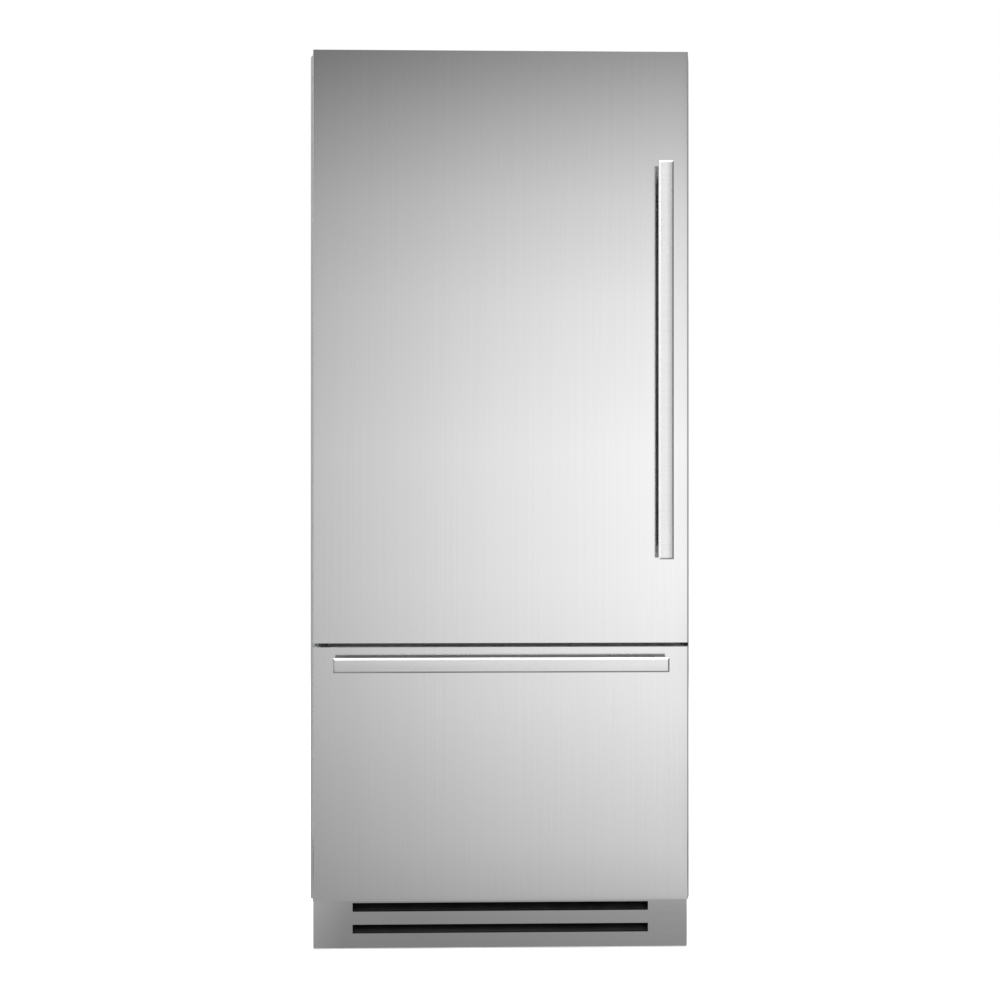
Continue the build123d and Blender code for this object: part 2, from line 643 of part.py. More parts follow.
# Rubber grommets between the tray and the compressor's plate
with BuildPart() as compressor_grommets:
    with BuildSketch(Plane.XY.offset(TRAY_TOP)):
        with Locations((COMPRESSOR_X, COMPRESSOR_Y)):
            with GridLocations(GROMMET_SPACING_X, GROMMET_SPACING_Y, 2, 2):
                Circle(GROMMET_RADIUS)
    extrude(amount=GROMMET_HEIGHT)
save(compressor_grommets, "compressor_grommets")

# Drain pan on the tray, under the condenser
CONDENSER_X = CONDENSER_INSET - HALF_BASE
with BuildPart() as drain_pan:
    pan_base = (PAN_LENGTH - PAN_RADIUS, PAN_WIDTH - PAN_RADIUS)
    tub((CONDENSER_X, COMPRESSOR_Y), (PAN_LENGTH, PAN_WIDTH), pan_base, (TRAY_TOP, TRAY_TOP + PAN_HEIGHT),
        PAN_RADIUS, PAN_WALL)
save(drain_pan, "drain_pan")

# Condenser: two round headers joined by flat tubes, standing in the drain pan
CONDENSER_BASE = TRAY_TOP + PAN_WALL
with BuildPart() as condenser:
    with BuildSketch(Plane.XY.offset(CONDENSER_BASE)):
        with Locations((CONDENSER_X, COMPRESSOR_Y)):
            with GridLocations(CONDENSER_LENGTH, 0, 2, 1):
                Circle(HEADER_RADIUS)
    extrude(amount=CONDENSER_HEIGHT)
    tube_pitch = CONDENSER_HEIGHT / (FLAT_TUBES + 1)
    with BuildSketch(Plane.YZ.offset(CONDENSER_X)):
        with Locations((COMPRESSOR_Y, CONDENSER_BASE + CONDENSER_HEIGHT / 2)):
            with GridLocations(0, tube_pitch, 1, FLAT_TUBES):
                Rectangle(FLAT_TUBE_DEPTH, FLAT_TUBE_HEIGHT)
    extrude(amount=CONDENSER_LENGTH / 2, both=True)
save(condenser, "condenser")

# Fan shroud: an upright plate across the bay with a ringed hole, three struts, the motor and its shaft
FAN_Z = TRAY_TOP + SHROUD_MARGIN + FAN_RADIUS + SHROUD_LIP
SHROUD_HALF = FAN_RADIUS + SHROUD_LIP + SHROUD_MARGIN
MOTOR_START = FAN_X + SHROUD_LIP + SHAFT_LENGTH
with BuildPart() as fan_shroud:
    with BuildSketch(Plane.YZ.offset(FAN_X)):
        with Locations((COMPRESSOR_Y, FAN_Z)):
            Rectangle(2 * SHROUD_HALF, 2 * SHROUD_HALF)
    extrude(amount=SHROUD_SHEET)
    with BuildSketch(Plane.YZ.offset(FAN_X)):
        with Locations((COMPRESSOR_Y, FAN_Z)):
            Circle(FAN_RADIUS + FAN_CLEAR + SHROUD_SHEET)
    extrude(amount=SHROUD_LIP)
    with BuildSketch(Plane.YZ.offset(FAN_X)):
        with Locations((COMPRESSOR_Y, FAN_Z)):
            Circle(FAN_RADIUS + FAN_CLEAR)
    extrude(amount=SHROUD_LIP, mode=Mode.SUBTRACT)
    with BuildSketch(Plane.YZ.offset(MOTOR_START)):
        with Locations((COMPRESSOR_Y, FAN_Z)):
            Circle(MOTOR_RADIUS)
    extrude(amount=MOTOR_LENGTH)
    with BuildSketch(Plane.YZ.offset(FAN_X)):
        with Locations((COMPRESSOR_Y, FAN_Z)):
            Circle(SHAFT_RADIUS)
    extrude(amount=MOTOR_START - FAN_X)
    with BuildSketch(Plane.YZ.offset(MOTOR_START)):
        with Locations((COMPRESSOR_Y, FAN_Z)):
            with PolarLocations(0, STRUTS, start_angle=90):
                Rectangle(FAN_RADIUS + SHROUD_LIP, STRUT_WIDTH, align=(Align.MIN, Align.CENTER))
    extrude(amount=SHROUD_SHEET)
    with BuildSketch(Plane.YZ.offset(FAN_X + SHROUD_SHEET)):
        with Locations((COMPRESSOR_Y, FAN_Z)):
            with PolarLocations(FAN_RADIUS + SHROUD_LIP - SHROUD_SHEET, STRUTS, start_angle=90):
                Rectangle(2 * SHROUD_SHEET, STRUT_WIDTH)
    extrude(amount=MOTOR_START - FAN_X)
save(fan_shroud, "fan_shroud")


def fan_wheel(plane, tip, bore):
    """A moulded fan: a hub bored for its shaft and pitched blades with rounded tips."""
    with BuildPart() as wheel:
        with BuildSketch(plane):
            Circle(FAN_HUB)
        extrude(amount=FAN_HUB_LENGTH)
        middle = plane.offset(FAN_HUB_LENGTH / 2)
        chord = BLADE_CHORD * tip / FAN_RADIUS
        root = BLADE_ROOT * tip / FAN_RADIUS
        for i in range(FAN_BLADES):
            radial = plane.x_dir.rotate(Axis((0, 0, 0), plane.z_dir), i * 360 / FAN_BLADES)
            pitched = plane.z_dir.rotate(Axis((0, 0, 0), radial), FAN_PITCH)
            turned = Plane(middle.origin, x_dir=radial, z_dir=pitched)
            with BuildSketch(turned) as blade:
                with BuildLine():
                    Polyline((FAN_HUB / 2, -root / 2), (tip, -chord / 2), (tip, chord / 2),
                             (FAN_HUB / 2, root / 2), close=True)
                make_face()
                fillet(blade.vertices().group_by(Axis.X)[-1], radius=BLADE_ROUND)
            extrude(blade.sketch, amount=BLADE_SHEET / 2, both=True)
        with BuildSketch(plane):
            Circle(bore)
        extrude(amount=FAN_HUB_LENGTH, mode=Mode.SUBTRACT)
    return wheel


FAN_BORE = SHAFT_RADIUS + RUNNING_FIT
fan_seat = (FAN_X - FAN_HUB_LENGTH / 2 + SHROUD_LIP, COMPRESSOR_Y, FAN_Z)
fan_plane = Plane(fan_seat, x_dir=(0, 1, 0), z_dir=(1, 0, 0))
save(fan_wheel(fan_plane, FAN_RADIUS - SHROUD_SHEET, FAN_BORE), "condenser_fan")

# Vented sheet that closes the machine bay at the back
with BuildPart() as machine_cover:
    cover_low = RAIL_BOTTOM + REAR_RAIL + FIT
    cover_middle = (cover_low + BAY_TOP) / 2
    with BuildSketch(upright(REAR_FACE)):
        with Locations((0, cover_middle)):
            Rectangle(2 * (HALF_BASE - FIT), BAY_TOP - cover_low)
            with GridLocations(COVER_SLOT_PITCH_X, COVER_SLOT_PITCH_Z, COVER_SLOT_COLUMNS, COVER_SLOT_ROWS):
                Rectangle(COVER_SLOT_LENGTH, COVER_SLOT_HEIGHT, mode=Mode.SUBTRACT)
    extrude(amount=STEEL)
save(machine_cover, "machine_cover")

# Evaporator: a fin pack on its tube plate against the freezer's rear wall
EVAPORATOR_FRONT = CAVITY_BACK - EVAPORATOR_SPACE
COLD_FAN_Z = FREEZER_CEILING - COLD_FAN_DROP
with BuildPart() as evaporator:
    evaporator_half = CAVITY_X - EVAPORATOR_MARGIN
    fin_pitch = 2 * evaporator_half / (EVAPORATOR_FINS - 1)
    low = STEP_TOP + LINER_RADIUS + FIT
    high = COLD_FAN_Z - COLD_FAN_RADIUS - EVAPORATOR_GAP
    fin_front = EVAPORATOR_FRONT + EVAPORATOR_SPINE
    block((-evaporator_half, evaporator_half), (CAVITY_BACK - EVAPORATOR_SPINE, CAVITY_BACK), (low, high))
    with BuildSketch(Plane.XY.offset(low)):
        with Locations((0, (fin_front + CAVITY_BACK) / 2)):
            with GridLocations(fin_pitch, 0, EVAPORATOR_FINS, 1):
                Rectangle(FIN_SHEET, CAVITY_BACK - fin_front)
    extrude(amount=high - low)
save(evaporator, "evaporator")

# Cover in front of the evaporator: intake slots below, a fan grille above, and the fan's shaft behind it
with BuildPart() as evaporator_cover:
    cover_half = CAVITY_X - SHELF_SIDE_GAP
    cover_top = FREEZER_CEILING - FIT
    cover_bottom = STEP_TOP + FIT
    with BuildSketch(upright(EVAPORATOR_FRONT)):
        with Locations((0, (cover_top + cover_bottom) / 2)):
            Rectangle(2 * cover_half, cover_top - cover_bottom)
        with Locations((0, STEP_TOP + INTAKE_LIFT)):
            with GridLocations(COVER_SLOT_PITCH_X, GRILLE_PITCH, COVER_SLOT_COLUMNS, INTAKE_ROWS):
                Rectangle(COVER_SLOT_LENGTH, GRILLE_SLOT, mode=Mode.SUBTRACT)
        with Locations((0, COLD_FAN_Z)):
            with GridLocations(0, GRILLE_PITCH, 1, GRILLE_SLOTS):
                Rectangle(2 * COLD_FAN_RADIUS, GRILLE_SLOT, mode=Mode.SUBTRACT)
    extrude(amount=LINER)
    bridge_half = COLD_FAN_RADIUS + STRUT_WIDTH
    bridge_back = CAVITY_BACK - SHROUD_SHEET
    bridge_z = (COLD_FAN_Z - STRUT_WIDTH, COLD_FAN_Z + STRUT_WIDTH)
    for side in SIDES:
        strut_x = side * bridge_half
        block((strut_x - SHROUD_SHEET, strut_x + SHROUD_SHEET), (EVAPORATOR_FRONT - FIT, bridge_back),
              bridge_z)
    block((-bridge_half, bridge_half), (bridge_back - SHROUD_SHEET, bridge_back), bridge_z)
    with BuildSketch(upright(CAVITY_BACK - SHROUD_SHEET)):
        with Locations((0, COLD_FAN_Z)):
            Circle(SHAFT_RADIUS)
    extrude(amount=SHROUD_SHEET + SHAFT_LENGTH)
save(evaporator_cover, "evaporator_cover")

cold_fan_seat = (0, CAVITY_BACK - 2 * SHROUD_SHEET - FIT, COLD_FAN_Z)
cold_fan_plane = Plane(cold_fan_seat, x_dir=(1, 0, 0), z_dir=(0, -1, 0))
save(fan_wheel(cold_fan_plane, COLD_FAN_RADIUS - SHROUD_SHEET, FAN_BORE), "evaporator_fan")

# Air duct up the refrigerator's back wall, hollow, with vents above each shelf
DUCT_BASE = SHELF_LEVELS[0] + SHELF_RIM
with BuildPart() as air_duct:
    duct_height = FRIDGE_CEILING - FIT - DUCT_BASE
    duct_middle = DUCT_BASE + duct_height / 2
    with BuildSketch(upright(CAVITY_BACK)):
        with Locations((0, duct_middle)):
            Rectangle(DUCT_WIDTH, duct_height)
    extrude(amount=DUCT_DEPTH)
    fillet(air_duct.faces().sort_by(Axis.Y)[0].edges().filter_by(Axis.Z), radius=DUCT_ROUND)
    hollow_half = DUCT_WIDTH / 2 - DUCT_WALL
    block((-hollow_half, hollow_half), (CAVITY_BACK - DUCT_DEPTH + DUCT_ROUND, CAVITY_BACK),
          (DUCT_BASE + DUCT_WALL, DUCT_BASE + duct_height - DUCT_WALL), Mode.SUBTRACT)
    with BuildSketch(upright(CAVITY_BACK)):
        for level in SHELF_LEVELS:
            with Locations((0, level + SHELF_PITCH / 2)):
                with GridLocations(DUCT_WIDTH / 2, DUCT_VENT_PITCH, 2, DUCT_VENTS):
                    Rectangle(DUCT_VENT_LENGTH, DUCT_VENT_HEIGHT)
    extrude(amount=DUCT_DEPTH, mode=Mode.SUBTRACT)
save(air_duct, "air_duct")

# Control panel under the ceiling, with a recessed lamp window
CONTROL_FRONT = DOOR_BACK + DIKE_DEPTH + DIKE_WIDTH
with BuildPart() as control_panel:
    with BuildSketch(Plane.XY.offset(FRIDGE_CEILING - CONTROL_HEIGHT)):
        with Locations((0, CONTROL_FRONT + CONTROL_DEPTH / 2)):
            RectangleRounded(CONTROL_WIDTH, CONTROL_DEPTH, CONTROL_CORNER)
    extrude(amount=CONTROL_HEIGHT)
    chamfer(control_panel.faces().sort_by(Axis.Z)[0].edges(), length=CONTROL_EDGE)
    with BuildSketch(Plane.XY.offset(FRIDGE_CEILING - CONTROL_HEIGHT)):
        with Locations((0, CONTROL_FRONT + CONTROL_DEPTH - LAMP_DEPTH)):
            RectangleRounded(LAMP_WIDTH, LAMP_DEPTH, LAMP_CORNER)
    extrude(amount=LAMP_RECESS, mode=Mode.SUBTRACT)
save(control_panel, "control_panel")


# Shelves: a moulded frame on the liner's ledges, and the glass let into it
SHELF_WIDTH = 2 * (CAVITY_X - SHELF_SIDE_GAP)
SHELF_DEPTH = SHELF_BACK - SHELF_FRONT
SHELF_MIDDLE = (0, (SHELF_FRONT + SHELF_BACK) / 2)


def shelf_outline(level, inset):
    """A shelf's outline at a level, drawn in by an inset."""
    with BuildSketch(Plane.XY.offset(level)) as outline:
        with Locations(SHELF_MIDDLE):
            Rectangle(SHELF_WIDTH - 2 * inset, SHELF_DEPTH - 2 * inset)
    return outline.sketch


def shelf_frame(level):
    """The frame of one shelf, with a rounded nose along its front."""
    with BuildPart() as frame:
        extrude(shelf_outline(level, 0), amount=SHELF_RIM)
        nose = frame.faces().sort_by(Axis.Y)[0].edges().filter_by(Axis.X)
        fillet(nose, radius=SHELF_NOSE)
        extrude(shelf_outline(level, SHELF_BORDER), amount=SHELF_RIM, mode=Mode.SUBTRACT)
        extrude(shelf_outline(level + SHELF_RIM - GLASS, SHELF_LIP), amount=GLASS, mode=Mode.SUBTRACT)
    return frame


def shelf_glass(level):
    """The pane of one shelf, flush with the top of its frame."""
    with BuildPart() as glass:
        extrude(shelf_outline(level + SHELF_RIM - GLASS, SHELF_LIP + FIT), amount=GLASS)
    return glass


for number, level in enumerate(SHELF_LEVELS, start=1):
    save(shelf_frame(level), f"shelf_frame_{number}")
    save(shelf_glass(level), f"shelf_glass_{number}")

# Crispers: two clear tubs under the lowest shelf, each with a pull lip along its front
CRISPER_BASE = FRIDGE_FLOOR + RUNNER + FIT
CRISPER_TOP = SHELF_LEVELS[0] - LEDGE_HEIGHT - CRISPER_HEADROOM


def crisper(side):
    """One crisper on the liner's runners."""
    middle_x = side * CRISPER_X
    front = SHELF_FRONT + CRISPER_HANDLE
    depth = SHELF_BACK - front
    with BuildPart() as box:
        tub((middle_x, front + depth / 2), (CRISPER_WIDTH, depth),
            (CRISPER_WIDTH - 2 * CRISPER_TAPER, depth - 2 * CRISPER_TAPER),
            (CRISPER_BASE, CRISPER_TOP), CRISPER_RADIUS, CRISPER_WALL)
        lip = [(front + CRISPER_WALL, CRISPER_TOP), (front - CRISPER_HANDLE, CRISPER_TOP),
               (front - CRISPER_HANDLE, CRISPER_TOP - CRISPER_HANDLE)]
        lip_width = CRISPER_WIDTH - 2 * (CRISPER_RADIUS + CRISPER_TAPER)
        bent_sheet(Plane.YZ.offset(middle_x - lip_width / 2), lip, CRISPER_WALL, lip_width, CRISPER_WALL * 2)
    return box


for side, name in zip(SIDES, ("left", "right")):
    save(crisper(side), f"crisper_{name}")


# Fronts: a stainless sheet folded round both sides, end caps, foam, liner and gasket
def front_panel(base, top, lip):
    """The outer sheet of the door or drawer: front, two sides and hems along the back.

    With a lip the front stands over the sides and hems.
    """
    back = DOOR_BACK - LINER
    section = [(PANEL_HEM - HALF_PANEL, back), (-HALF_PANEL, back), (-HALF_PANEL, FRONT), (HALF_PANEL, FRONT),
               (HALF_PANEL, back), (HALF_PANEL - PANEL_HEM, back)]
    with BuildPart() as panel:
        bent_sheet(Plane.XY.offset(base), section, PANEL_SHEET, top + lip - base, PANEL_FOLD)
        if lip:
            block((-HALF_PANEL, HALF_PANEL), (FRONT + PANEL_SHEET, DOOR_BACK), (top, top + lip),
                  Mode.SUBTRACT)
    return panel


def core_plan(level):
    """The plan of what fills the folded sheet: full width, stepped in between the hems."""
    half = HALF_PANEL - PANEL_SHEET
    back = DOOR_BACK - LINER
    with BuildSketch(Plane.XY.offset(level)) as plan:
        with Locations((0, (FRONT + back) / 2)):
            RectangleRounded(2 * half, back - FRONT - 2 * PANEL_SHEET, PANEL_FOLD - PANEL_SHEET)
        with Locations((0, back - PANEL_SHEET / 2)):
            Rectangle(2 * (HALF_PANEL - PANEL_HEM), PANEL_SHEET)
    return plan.sketch


def end_caps(base, top, bushed):
    """Plastic caps closing the folded sheet's two ends, bored for the hinge bushes where there are any."""
    with BuildPart() as caps:
        for low in (base + CAP_INSET, top - CAP_INSET - END_CAP):
            extrude(core_plan(low), amount=END_CAP)
        if bushed:
            for low in (base, top - END_CAP):
                with BuildSketch(Plane.XY.offset(low)):
                    with Locations((HINGE_X, HINGE_Y)):
                        Circle(BUSH_RADIUS)
                extrude(amount=END_CAP, mode=Mode.SUBTRACT)
    return caps


def dike(y, inset, amount, limits, mode):
    """The raised ring of a front's liner, drawn in by a wall, running forwards from a depth."""
    height = limits[1] - limits[0]
    with BuildSketch(upright(y)) as ring:
        with Locations((0, limits[0] + height / 2)):
            RectangleRounded(2 * (DIKE_OUT - inset), height - 2 * inset, DIKE_RADIUS - inset)
            RectangleRounded(2 * (DIKE_IN + inset), height - 2 * (DIKE_WIDTH - inset),
                             DIKE_INNER_RADIUS + inset, mode=Mode.SUBTRACT)
    extrude(ring.sketch, amount=amount, mode=mode)


def front_foam(base, top, rise, limits):
    """Foam inside a front, with the ring that fills the liner's dike."""
    with BuildPart() as foam:
        low = base + CAP_INSET + END_CAP
        extrude(core_plan(low), amount=top - CAP_INSET - END_CAP - low)
        dike(DOOR_BACK + rise - LINER, LINER, rise, limits, Mode.ADD)
    return foam


def front_liner(base, top, rise, limits):
    """The white moulded inside of a front: a plate with a hollow raised ring."""
    with BuildPart() as liner:
        with BuildSketch(upright(DOOR_BACK)) as plate:
            with Locations((0, (base + top) / 2)):
                Rectangle(2 * (HALF_PANEL - PANEL_SHEET), top - base - 2 * CAP_INSET)
        extrude(plate.sketch, amount=LINER)
        dike(DOOR_BACK + rise, 0, rise, limits, Mode.ADD)
        dike(DOOR_BACK + rise - LINER, LINER, rise, limits, Mode.SUBTRACT)
    return liner


def gasket(limits):
    """The magnetic seal of a front: a ring with a bellows groove round its outside."""
    height = limits[1] - limits[0]
    half = FLANGE_X + FIT + GASKET_WIDTH
    thickness = SEAL_GAP - FIT
    with BuildPart() as seal:
        with BuildSketch(upright(CAB_FRONT - FIT)) as ring:
            with Locations((0, limits[0] + height / 2)):
                Rectangle(2 * half, height)
                Rectangle(2 * (half - GASKET_WIDTH), height - 2 * GASKET_WIDTH, mode=Mode.SUBTRACT)
        extrude(ring.sketch, amount=thickness)
        with BuildSketch(upright(CAB_FRONT - FIT - (thickness - GASKET_GROOVE) / 2)) as groove:
            with Locations((0, limits[0] + height / 2)):
                Rectangle(2 * half, height)
                Rectangle(2 * (half - GASKET_GROOVE), height - 2 * GASKET_GROOVE, mode=Mode.SUBTRACT)
        extrude(groove.sketch, amount=GASKET_GROOVE, mode=Mode.SUBTRACT)
    return seal


DOOR_DIKE = (FRIDGE_FLOOR + DIKE_MARGIN, FRIDGE_CEILING - DIKE_HEAD)
DRAWER_DIKE = (FREEZER_FLOOR + DIKE_MARGIN, FREEZER_CEILING - DIKE_MARGIN)
DOOR_SEAL = (DOOR_BASE + GASKET_GROOVE, BODY_HEIGHT - FLANGE + FIT + GASKET_WIDTH)
DRAWER_SEAL = (BASE_HEIGHT + FLANGE - FIT - GASKET_WIDTH, DRAWER_TOP - GASKET_GROOVE)

save(front_panel(DOOR_BASE, DOOR_HEAD, HEAD_LIP), "door_panel")
save(end_caps(DOOR_BASE, DOOR_HEAD, True), "door_end_caps")
save(front_foam(DOOR_BASE, DOOR_HEAD, DIKE_DEPTH, DOOR_DIKE), "door_insulation")
save(gasket(DOOR_SEAL), "door_gasket")
save(front_panel(DRAWER_BASE, DRAWER_TOP, 0), "drawer_panel")
save(end_caps(DRAWER_BASE, DRAWER_TOP, False), "drawer_end_caps")
save(front_foam(DRAWER_BASE, DRAWER_TOP, DRAWER_DIKE_DEPTH, DRAWER_DIKE), "drawer_insulation")
save(front_liner(DRAWER_BASE, DRAWER_TOP, DRAWER_DIKE_DEPTH, DRAWER_DIKE), "drawer_liner")
save(gasket(DRAWER_SEAL), "drawer_gasket")

# Door liner: the same plate and ring, with lugs on the ring's inside that carry the bins
FIRST_BIN = FRIDGE_FLOOR + BIN_FIRST
TOP_BIN = DOOR_DIKE[1] - DIKE_WIDTH - BIN_HEADROOM - BIN_HEIGHT
BIN_PITCH = (TOP_BIN - FIRST_BIN) / (BIN_COUNT - 1)
BIN_LEVELS = [FIRST_BIN + BIN_PITCH * i for i in range(BIN_COUNT)]
door_liner = front_liner(DOOR_BASE, DOOR_HEAD, DIKE_DEPTH, DOOR_DIKE)
with BuildPart() as lugged_liner:
    add(door_liner.part)
    for level in BIN_LEVELS:
        for side in SIDES:
            reach = sorted((side * DIKE_IN, side * (DIKE_IN - LUG)))
            block(reach, (DOOR_BACK, DOOR_BACK + LUG_DEPTH), (level - LUG_HEIGHT, level))
save(lugged_liner, "door_liner")


def door_bin(level):
    """One clear bin standing on its lugs against the door's liner."""
    width = 2 * (DIKE_IN - BIN_PLAY)
    middle = (0, DOOR_BACK + FIT + BIN_DEPTH / 2)
    with BuildPart() as bin_tub:
        tub(middle, (width, BIN_DEPTH), (width, BIN_DEPTH - BIN_TAPER), (level, level + BIN_HEIGHT),
            BIN_RADIUS, BIN_WALL)
    return bin_tub


for number, level in enumerate(BIN_LEVELS, start=1):
    save(door_bin(level), f"door_bin_{number}")

# Hinge bushes: flanged plastic sleeves in the door's end caps
BUSH_LENGTH = END_CAP - CAP_INSET
with BuildPart() as hinge_bushes:
    low_seat = DOOR_BASE + CAP_INSET
    high_seat = DOOR_HEAD - CAP_INSET
    for seat, inward in ((low_seat, 1), (high_seat, -1)):
        with BuildSketch(Plane.XY.offset(seat)):
            with Locations((HINGE_X, HINGE_Y)):
                Circle(BUSH_RADIUS)
                Circle(PIN_RADIUS + RUNNING_FIT, mode=Mode.SUBTRACT)
        extrude(amount=inward * BUSH_LENGTH)
        with BuildSketch(Plane.XY.offset(seat)):
            with Locations((HINGE_X, HINGE_Y)):
                Circle(BUSH_FLANGE_RADIUS)
                Circle(PIN_RADIUS + RUNNING_FIT, mode=Mode.SUBTRACT)
        extrude(amount=-inward * BUSH_FLANGE)
save(hinge_bushes, "hinge_bushes")

# Upper hinge: a strap on the cabinet's roof, stepped down over the door's end cap, its pin pointing down
ARM_LEVEL = DOOR_HEAD + HINGE_STEP
STRAP_X = HINGE_X - HINGE_NOSE + HINGE_ARM / 2
with BuildPart() as upper_hinge:
    strap = [(CAB_FRONT + HINGE_TAIL, BODY_HEIGHT), (CAB_FRONT - HINGE_EDGE, BODY_HEIGHT),
             (DOOR_BACK, ARM_LEVEL), (HINGE_Y - HINGE_NOSE, ARM_LEVEL)]
    bent_sheet(Plane.YZ.offset(STRAP_X - HINGE_ARM / 2), strap, -HINGE_PLATE, HINGE_ARM, HINGE_PLATE)
    with BuildSketch(Plane.XY.offset(ARM_LEVEL)) as strap_plan:
        with Locations((STRAP_X, CAB_FRONT + HINGE_TAIL / 2)):
            Rectangle(HINGE_ARM, HINGE_TAIL)
        with Locations((HINGE_X, (HINGE_Y + CAB_FRONT) / 2)):
            Rectangle(2 * HINGE_NOSE, CAB_FRONT - HINGE_Y)
        with Locations((HINGE_X, HINGE_Y)):
            Circle(HINGE_NOSE)
    extrude(strap_plan.sketch, amount=HEAD_LIP + HINGE_PLATE, mode=Mode.INTERSECT)
    with BuildSketch(Plane.XY.offset(ARM_LEVEL)) as pin:
        with Locations((HINGE_X, HINGE_Y)):
            Circle(PIN_RADIUS)
    extrude(pin.sketch, amount=-HINGE_STEP - PIN_ENGAGE)
    with BuildSketch(Plane.XY.offset(BODY_HEIGHT)) as bolts:
        with Locations((STRAP_X, CAB_FRONT + HINGE_TAIL / 2 + HINGE_NOSE)):
            with GridLocations(BOLT_SPACING_X, BOLT_SPACING_Y, 2, 2):
                Circle(HINGE_BOLT)
    extrude(bolts.sketch, amount=HINGE_PLATE, mode=Mode.SUBTRACT)
save(upper_hinge, "upper_hinge")

# Lower hinge: an arm in the gap between door and drawer, on a leg against the cabinet's front
ARM_LOW = GAP_Z - HINGE_PLATE / 2
with BuildPart() as lower_hinge:
    with BuildSketch(Plane.XY.offset(ARM_LOW)):
        with Locations((HINGE_X, HINGE_Y)):
            Circle(HINGE_NOSE)
        with Locations((HINGE_X, (HINGE_Y + CAB_FRONT) / 2)):
            Rectangle(2 * HINGE_NOSE, CAB_FRONT - HINGE_Y)
    extrude(amount=HINGE_PLATE)
    leg_left = HINGE_EDGE - HALF_PANEL
    block((leg_left, leg_left + LEG_WIDTH), (CAB_FRONT - LEG_SHEET, CAB_FRONT),
          (GAP_Z - LEG_HEIGHT / 2, GAP_Z + LEG_HEIGHT / 2))
    with BuildSketch(Plane.XY.offset(ARM_LOW + HINGE_PLATE)):
        with Locations((HINGE_X, HINGE_Y)):
            Circle(PIN_RADIUS)
    extrude(amount=DOOR_BASE + PIN_ENGAGE - ARM_LOW - HINGE_PLATE)
save(lower_hinge, "lower_hinge")


# Handles: bars with a slightly crowned face and bevelled front edges, on a post near each end
def handle_bar(plane, length):
    """A bar drawn along the plane's normal; the plane's X runs across it and its Y points at the panel."""
    half = HANDLE_WIDTH / 2
    back = HANDLE_BAR / 2
    side = HANDLE_CROWN - back
    with BuildPart() as bar:
        with BuildSketch(plane) as section:
            with BuildLine():
                Polyline((-half, side), (-half, back), (half, back), (half, side))
                ThreePointArc((half, side), (0, -back), (-half, side))
            make_face()
            fillet(section.vertices().group_by(Axis.Y)[-1], radius=HANDLE_BACK_ROUND)
        extrude(section.sketch, amount=length / 2, both=True)
        face = bar.faces().sort_by(Axis.Y)[0]
        chamfer(face.edges(), length=HANDLE_BEVEL)
    return bar


def handle_posts(plane, length):
    """Two posts between a bar's back and the panel, one near each end of the bar."""
    reach = HANDLE_REACH - HANDLE_BAR
    run = length - POST_LENGTH - 2 * POST_INSET
    across = Plane(plane.origin + plane.y_dir * (HANDLE_BAR / 2), x_dir=plane.x_dir, z_dir=plane.y_dir)
    with BuildPart() as posts:
        with BuildSketch(across) as feet:
            with GridLocations(0, run, 1, 2):
                RectangleRounded(POST_WIDTH, POST_LENGTH, POST_ROUND)
        extrude(feet.sketch, amount=reach)
    return posts


BAR_Y = FRONT - HANDLE_REACH + HANDLE_BAR / 2
DRAWER_HANDLE_LENGTH = 2 * (HALF_PANEL - DRAWER_HANDLE_MARGIN)
door_bar_z = DOOR_BASE + DOOR_HANDLE_RISE + DOOR_HANDLE_LENGTH / 2
door_bar = Plane((HALF_PANEL - DOOR_HANDLE_INSET, BAR_Y, door_bar_z), x_dir=(1, 0, 0), z_dir=(0, 0, 1))
drawer_bar = Plane((0, BAR_Y, DRAWER_TOP - DRAWER_HANDLE_DROP), x_dir=(0, 0, -1), z_dir=(1, 0, 0))
for bar_plane, length, name in ((door_bar, DOOR_HANDLE_LENGTH, "door"),
                                (drawer_bar, DRAWER_HANDLE_LENGTH, "drawer")):
    save(handle_bar(bar_plane, length), f"{name}_handle_bar")
    save(handle_posts(bar_plane, length), f"{name}_handle_posts")

# Telescopic slides: an outer channel on the liner, a middle one inside it, and an inner bar with its carrier
SLIDE_Z = FREEZER_FLOOR + SLIDE_RISE
SLIDE_FRONT = CAB_FRONT + SLIDE_SETBACK
SLIDE_BACK = EVAPORATOR_FRONT - LINER - SLIDE_REAR_GAP
SLIDE_LENGTH = SLIDE_BACK - SLIDE_FRONT
SLIDE_NEST = SLIDE_SHEET + SLIDE_PLAY


def slide_channels(nest):
    """A pair of lipped channels opening inwards, nested a number of times inside the outer one."""
    inset = nest * SLIDE_NEST
    half = SLIDE_HEIGHT / 2 - inset
    with BuildPart() as channels:
        for side in SIDES:
            back = side * (CAVITY_X - inset)
            mouth = side * (CAVITY_X - SLIDE_DEPTH + inset)
            line = [(mouth, SLIDE_Z + half - SLIDE_LIP), (mouth, SLIDE_Z + half), (back, SLIDE_Z + half),
                    (back, SLIDE_Z - half), (mouth, SLIDE_Z - half), (mouth, SLIDE_Z - half + SLIDE_LIP)]
            bent_sheet(upright(SLIDE_BACK), line, -side * SLIDE_SHEET, SLIDE_LENGTH, SLIDE_FOLD)
    return channels


save(slide_channels(0), "slide_outers")
save(slide_channels(1), "slide_mids")

